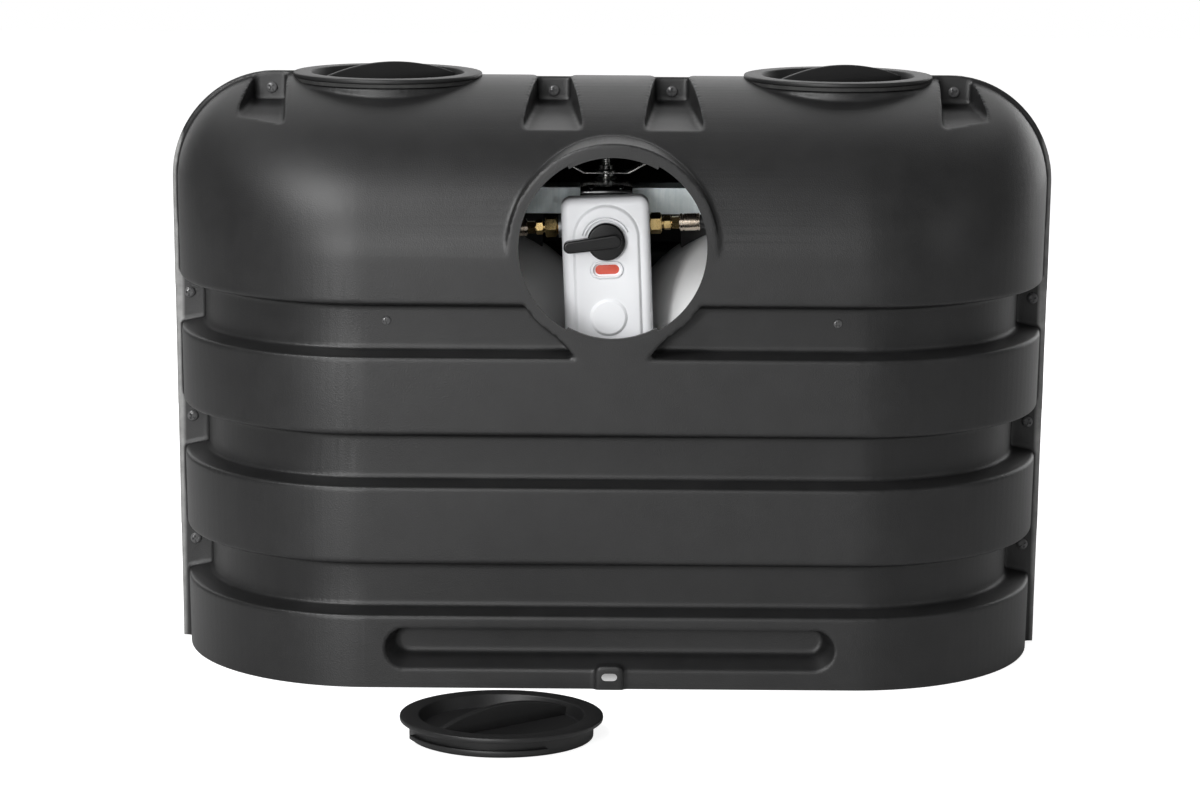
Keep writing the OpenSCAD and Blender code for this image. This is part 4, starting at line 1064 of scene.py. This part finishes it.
# %% Bracket, rod and wing nut
BAR_T, ROD_D = 2.5, 9.5
THREAD_L, THREAD_TURNS, THREAD_STEP = 62, 38, 1.6

def strip_outline(path, thick, bend=5.0):
    """Both sides of a bent strip, from the line through its outer face."""
    line = rounded([(x, y, 0) for x, y in path], bend, 8)
    normals = []
    for k in range(len(line)):
        ahead = (line[min(k + 1, len(line) - 1)] - line[max(k - 1, 0)]).normalized()
        normals.append(Vector((ahead.y, -ahead.x, 0)))
    inner = [p - n * thick for p, n in zip(line, normals)]
    return [(p.x, p.y) for p in line] + [(p.x, p.y) for p in reversed(inner)]

def make_bracket():
    (x0, y0, z0), (x1, y1, z1) = ([c / MM for c in corner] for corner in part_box("regulator_bracket"))
    edge = strip_outline([(y1, z1), (y0, z1), (y0, z0)], BAR_T)
    bm = slab(bmesh.new(), edge, 0, x1 - x0, 0.4, 2)
    move(bm, Matrix(((0, 0, 1, x0), (1, 0, 0, 0), (0, 1, 0, 0), (0, 0, 0, 1))))
    bmesh.ops.recalc_face_normals(bm, faces=bm.faces)
    piece = as_object("regulator_bracket_sheet", bm)
    combine(piece, disc(ROD_D / 2 + 0.5, z1 - 20, z1 + 20, 48), at(ROD_X, 0, 0))
    bm = opened(piece)
    for s in (-1, 1):
        gusset = spun(bmesh.new(), rounded_profile([(0, -4.5), (2.2, -3.5), (2.2, 3.5), (0, 4.5)], 0.8), 20)
        add(bm, gusset, at(ROD_X + s * 12, y0 + 2.1, z1 - 2.1) @ turned(45, "X"))
    put_back(bm, piece)
    finish(piece, "rack", "black_steel", black_steel, ["regulator_bracket"], crisp=40)

def make_rod():
    low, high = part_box("centre_rod")
    foot, top = low[2] / MM, high[2] / MM
    outer, root = ROD_D / 2, ROD_D / 2 - 0.45
    thread = [(root, top - THREAD_L)]
    for k in range(THREAD_TURNS):
        z = top - THREAD_L + 0.5 + THREAD_STEP * k
        thread += [(root, z), (outer, z + 0.5), (outer, z + 0.8), (root, z + 1.3)]
    profile = [(0, foot), (outer, foot), (outer, top - THREAD_L)] + thread + [(outer - 0.6, top), (0, top)]
    bm = spun(bmesh.new(), profile, 32)
    bmesh.ops.translate(bm, verts=bm.verts, vec=(ROD_X, 0, 0))
    slot = SLOT_OF["centre_rod"]
    finish(as_object("centre_rod_threaded", bm), "rack", slot, FINISHES[slot], ["centre_rod"], crisp=30)

def make_wing_nut():
    low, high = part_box("wing_nut")
    z0, half = low[2] / MM, (high[0] - low[0]) / 2 / MM
    rise = (high[2] - low[2]) / MM - 1.3
    flat, lift = 18.0, 5.5  # half the level part of the sheet, and how far it lies above the seat
    sheet = strip_outline([(-half + 0.9, rise), (-flat, lift), (flat, lift), (half - 0.9, rise)], 1.4, 3.0)
    bm = slab(bmesh.new(), sheet, -11, 11, 0.35, 2)
    move(bm, FRONT)
    piece = as_object("wing_nut_pressed", bm)
    foot = [(0, 0), (9.5, 0), (9.5, 1.4), (6.4, 3.4), (6.4, lift)]
    collar = [(9.2, lift + 0.6), (9.2, lift + 2.4), (6.6, lift + 3.2), (6.2, 12.4), (0, 12.4)]
    combine(piece, spun(bmesh.new(), rounded_profile(foot + collar, 0.6), 48), operation="UNION")
    combine(piece, disc(ROD_D / 2 + 0.06, -5, 30, 48))
    bm = taken(piece)
    bmesh.ops.translate(bm, verts=bm.verts, vec=(ROD_X, 0, z0))
    finish(as_object("wing_nut_sheet", bm), "wing_nut", "zinc", zinc, ["wing_nut"])

make_bracket()
make_rod()
make_wing_nut()

# %% [markdown]
# ## Studio
# The floor and the world are plain white for the camera. For everything else the world is dim and the
# floor is a real surface, so the dark plastic mirrors only a little of it and its sides stay dark. The
# floor's own glow fades out under the cover, where no light would reach. Soft light comes from panels: a
# large one left of the camera, a strong one high on the left, a narrow one low on the left that reaches
# into the window, and two weak ones on the right, of which the far one draws the right edge. A wide one
# stands behind, and the level surfaces mirror it. Another hangs over the floor behind, which the rounded
# ends mirror at a low angle.

# %% Studio
WHITE = (1, 1, 1)
FILL, FLOOR_LIFT = 0.22, 0.85
FLOOR_GREY, FLOOR_HALF, FLOOR_Z = (0.62, 0.62, 0.62), 6, -0.0005
SHADE_X, SHADE_Y, SHADE_CORE = 0.33, 0.175, 0.3  # half axes of the shade under the cover, and its dark share

def make_world():
    world = bpy.data.worlds.new("studio")
    bpy.context.scene.world = world
    world.use_nodes = True
    tree = world.node_tree
    tree.nodes.clear()
    path = tree.nodes.new("ShaderNodeLightPath")
    seen = tree.nodes.new("ShaderNodeMath")
    seen.operation = "MAXIMUM"
    tree.links.new(path.outputs["Is Camera Ray"], seen.inputs[0])
    tree.links.new(path.outputs["Is Transmission Ray"], seen.inputs[1])
    white, fill = tree.nodes.new("ShaderNodeBackground"), tree.nodes.new("ShaderNodeBackground")
    for background, strength in ((white, 1.0), (fill, FILL)):
        background.inputs["Color"].default_value = (*WHITE, 1)
        background.inputs["Strength"].default_value = strength
    mix, out = tree.nodes.new("ShaderNodeMixShader"), tree.nodes.new("ShaderNodeOutputWorld")
    tree.links.new(seen.outputs[0], mix.inputs[0])
    tree.links.new(fill.outputs[0], mix.inputs[1])
    tree.links.new(white.outputs[0], mix.inputs[2])
    tree.links.new(mix.outputs[0], out.inputs["Surface"])

def make_floor():
    bm = bmesh.new()
    bmesh.ops.create_grid(bm, x_segments=1, y_segments=1, size=FLOOR_HALF)
    floor = as_object("studio_floor", bm)
    floor.location.z = FLOOR_Z
    g = Graph("studio_floor")
    g.feed(g.shader.inputs["Base Color"], FLOOR_GREY)
    g.feed(g.shader.inputs["Roughness"], 0.9)
    axes = g.add("ShaderNodeSeparateXYZ", {}, {"Vector": g.place})
    across, along = axes, axes.output(1)
    reach = (across / SHADE_X) ** 2 + (along / SHADE_Y) ** 2
    camera = g.add("ShaderNodeLightPath", {}, {}, "Is Camera Ray")
    lifted = camera * reach.limit(SHADE_CORE, 1.0)
    glow = g.add("ShaderNodeEmission", {}, {"Color": WHITE, "Strength": FLOOR_LIFT})
    surface = Value(g, g.shader.outputs[0])
    both = g.add("ShaderNodeAddShader", {}, {0: surface, 1: glow})
    mix = g.add("ShaderNodeMixShader", {}, {0: lifted, 1: surface, 2: both})
    g.tree.links.new(mix.socket, g.tree.nodes["Material Output"].inputs["Surface"])
    floor.data.materials.append(g.material)

def panel_light(name, place, target, width, height, power):
    data = bpy.data.lights.new(name, "AREA")
    data.shape, data.size, data.size_y, data.energy = "RECTANGLE", width, height, power
    lamp = bpy.data.objects.new(name, data)
    bpy.context.scene.collection.objects.link(lamp)
    lamp.location = place
    lamp.rotation_euler = (Vector(target) - Vector(place)).to_track_quat("-Z", "Y").to_euler()

# name: place, target, width, height, watts
PANELS = {
    "front_sweep": ((-1.1, -3.9, 1.4), (0, 0, 0.3), 2.4, 2.2, 38),
    "key_left": ((-1.05, -1.25, 1.95), (-0.05, 0, 0.3), 1.1, 0.8, 38),
    "strip_left": ((-1.27, -3.15, 0.72), (0, 0, 0.3), 0.5, 0.9, 42),
    "fill_right": ((2.2, -1.2, 0.9), (0.05, 0, 0.3), 0.5, 1.2, 3),
    "edge_right": ((1.6, 1.8, 0.6), (0.3, 0, 0.25), 1.0, 0.9, 5),
    "back_sweep": ((0, 2.3, 0.9), (0, 0, 0.45), 3.4, 1.4, 18),
    "floor_behind": ((0, 2.2, 2.6), (0, 2.2, 0), 5.0, 1.5, 30),
}
make_world()
make_floor()
for name, numbers in PANELS.items():
    panel_light(name, *numbers)
print(len(PANELS), "panels light the scene")

# %% [markdown]
# ## Last step
# The Standard view shows colours as they are written.

# %% Output settings
bpy.context.scene.view_settings.view_transform = "Standard"
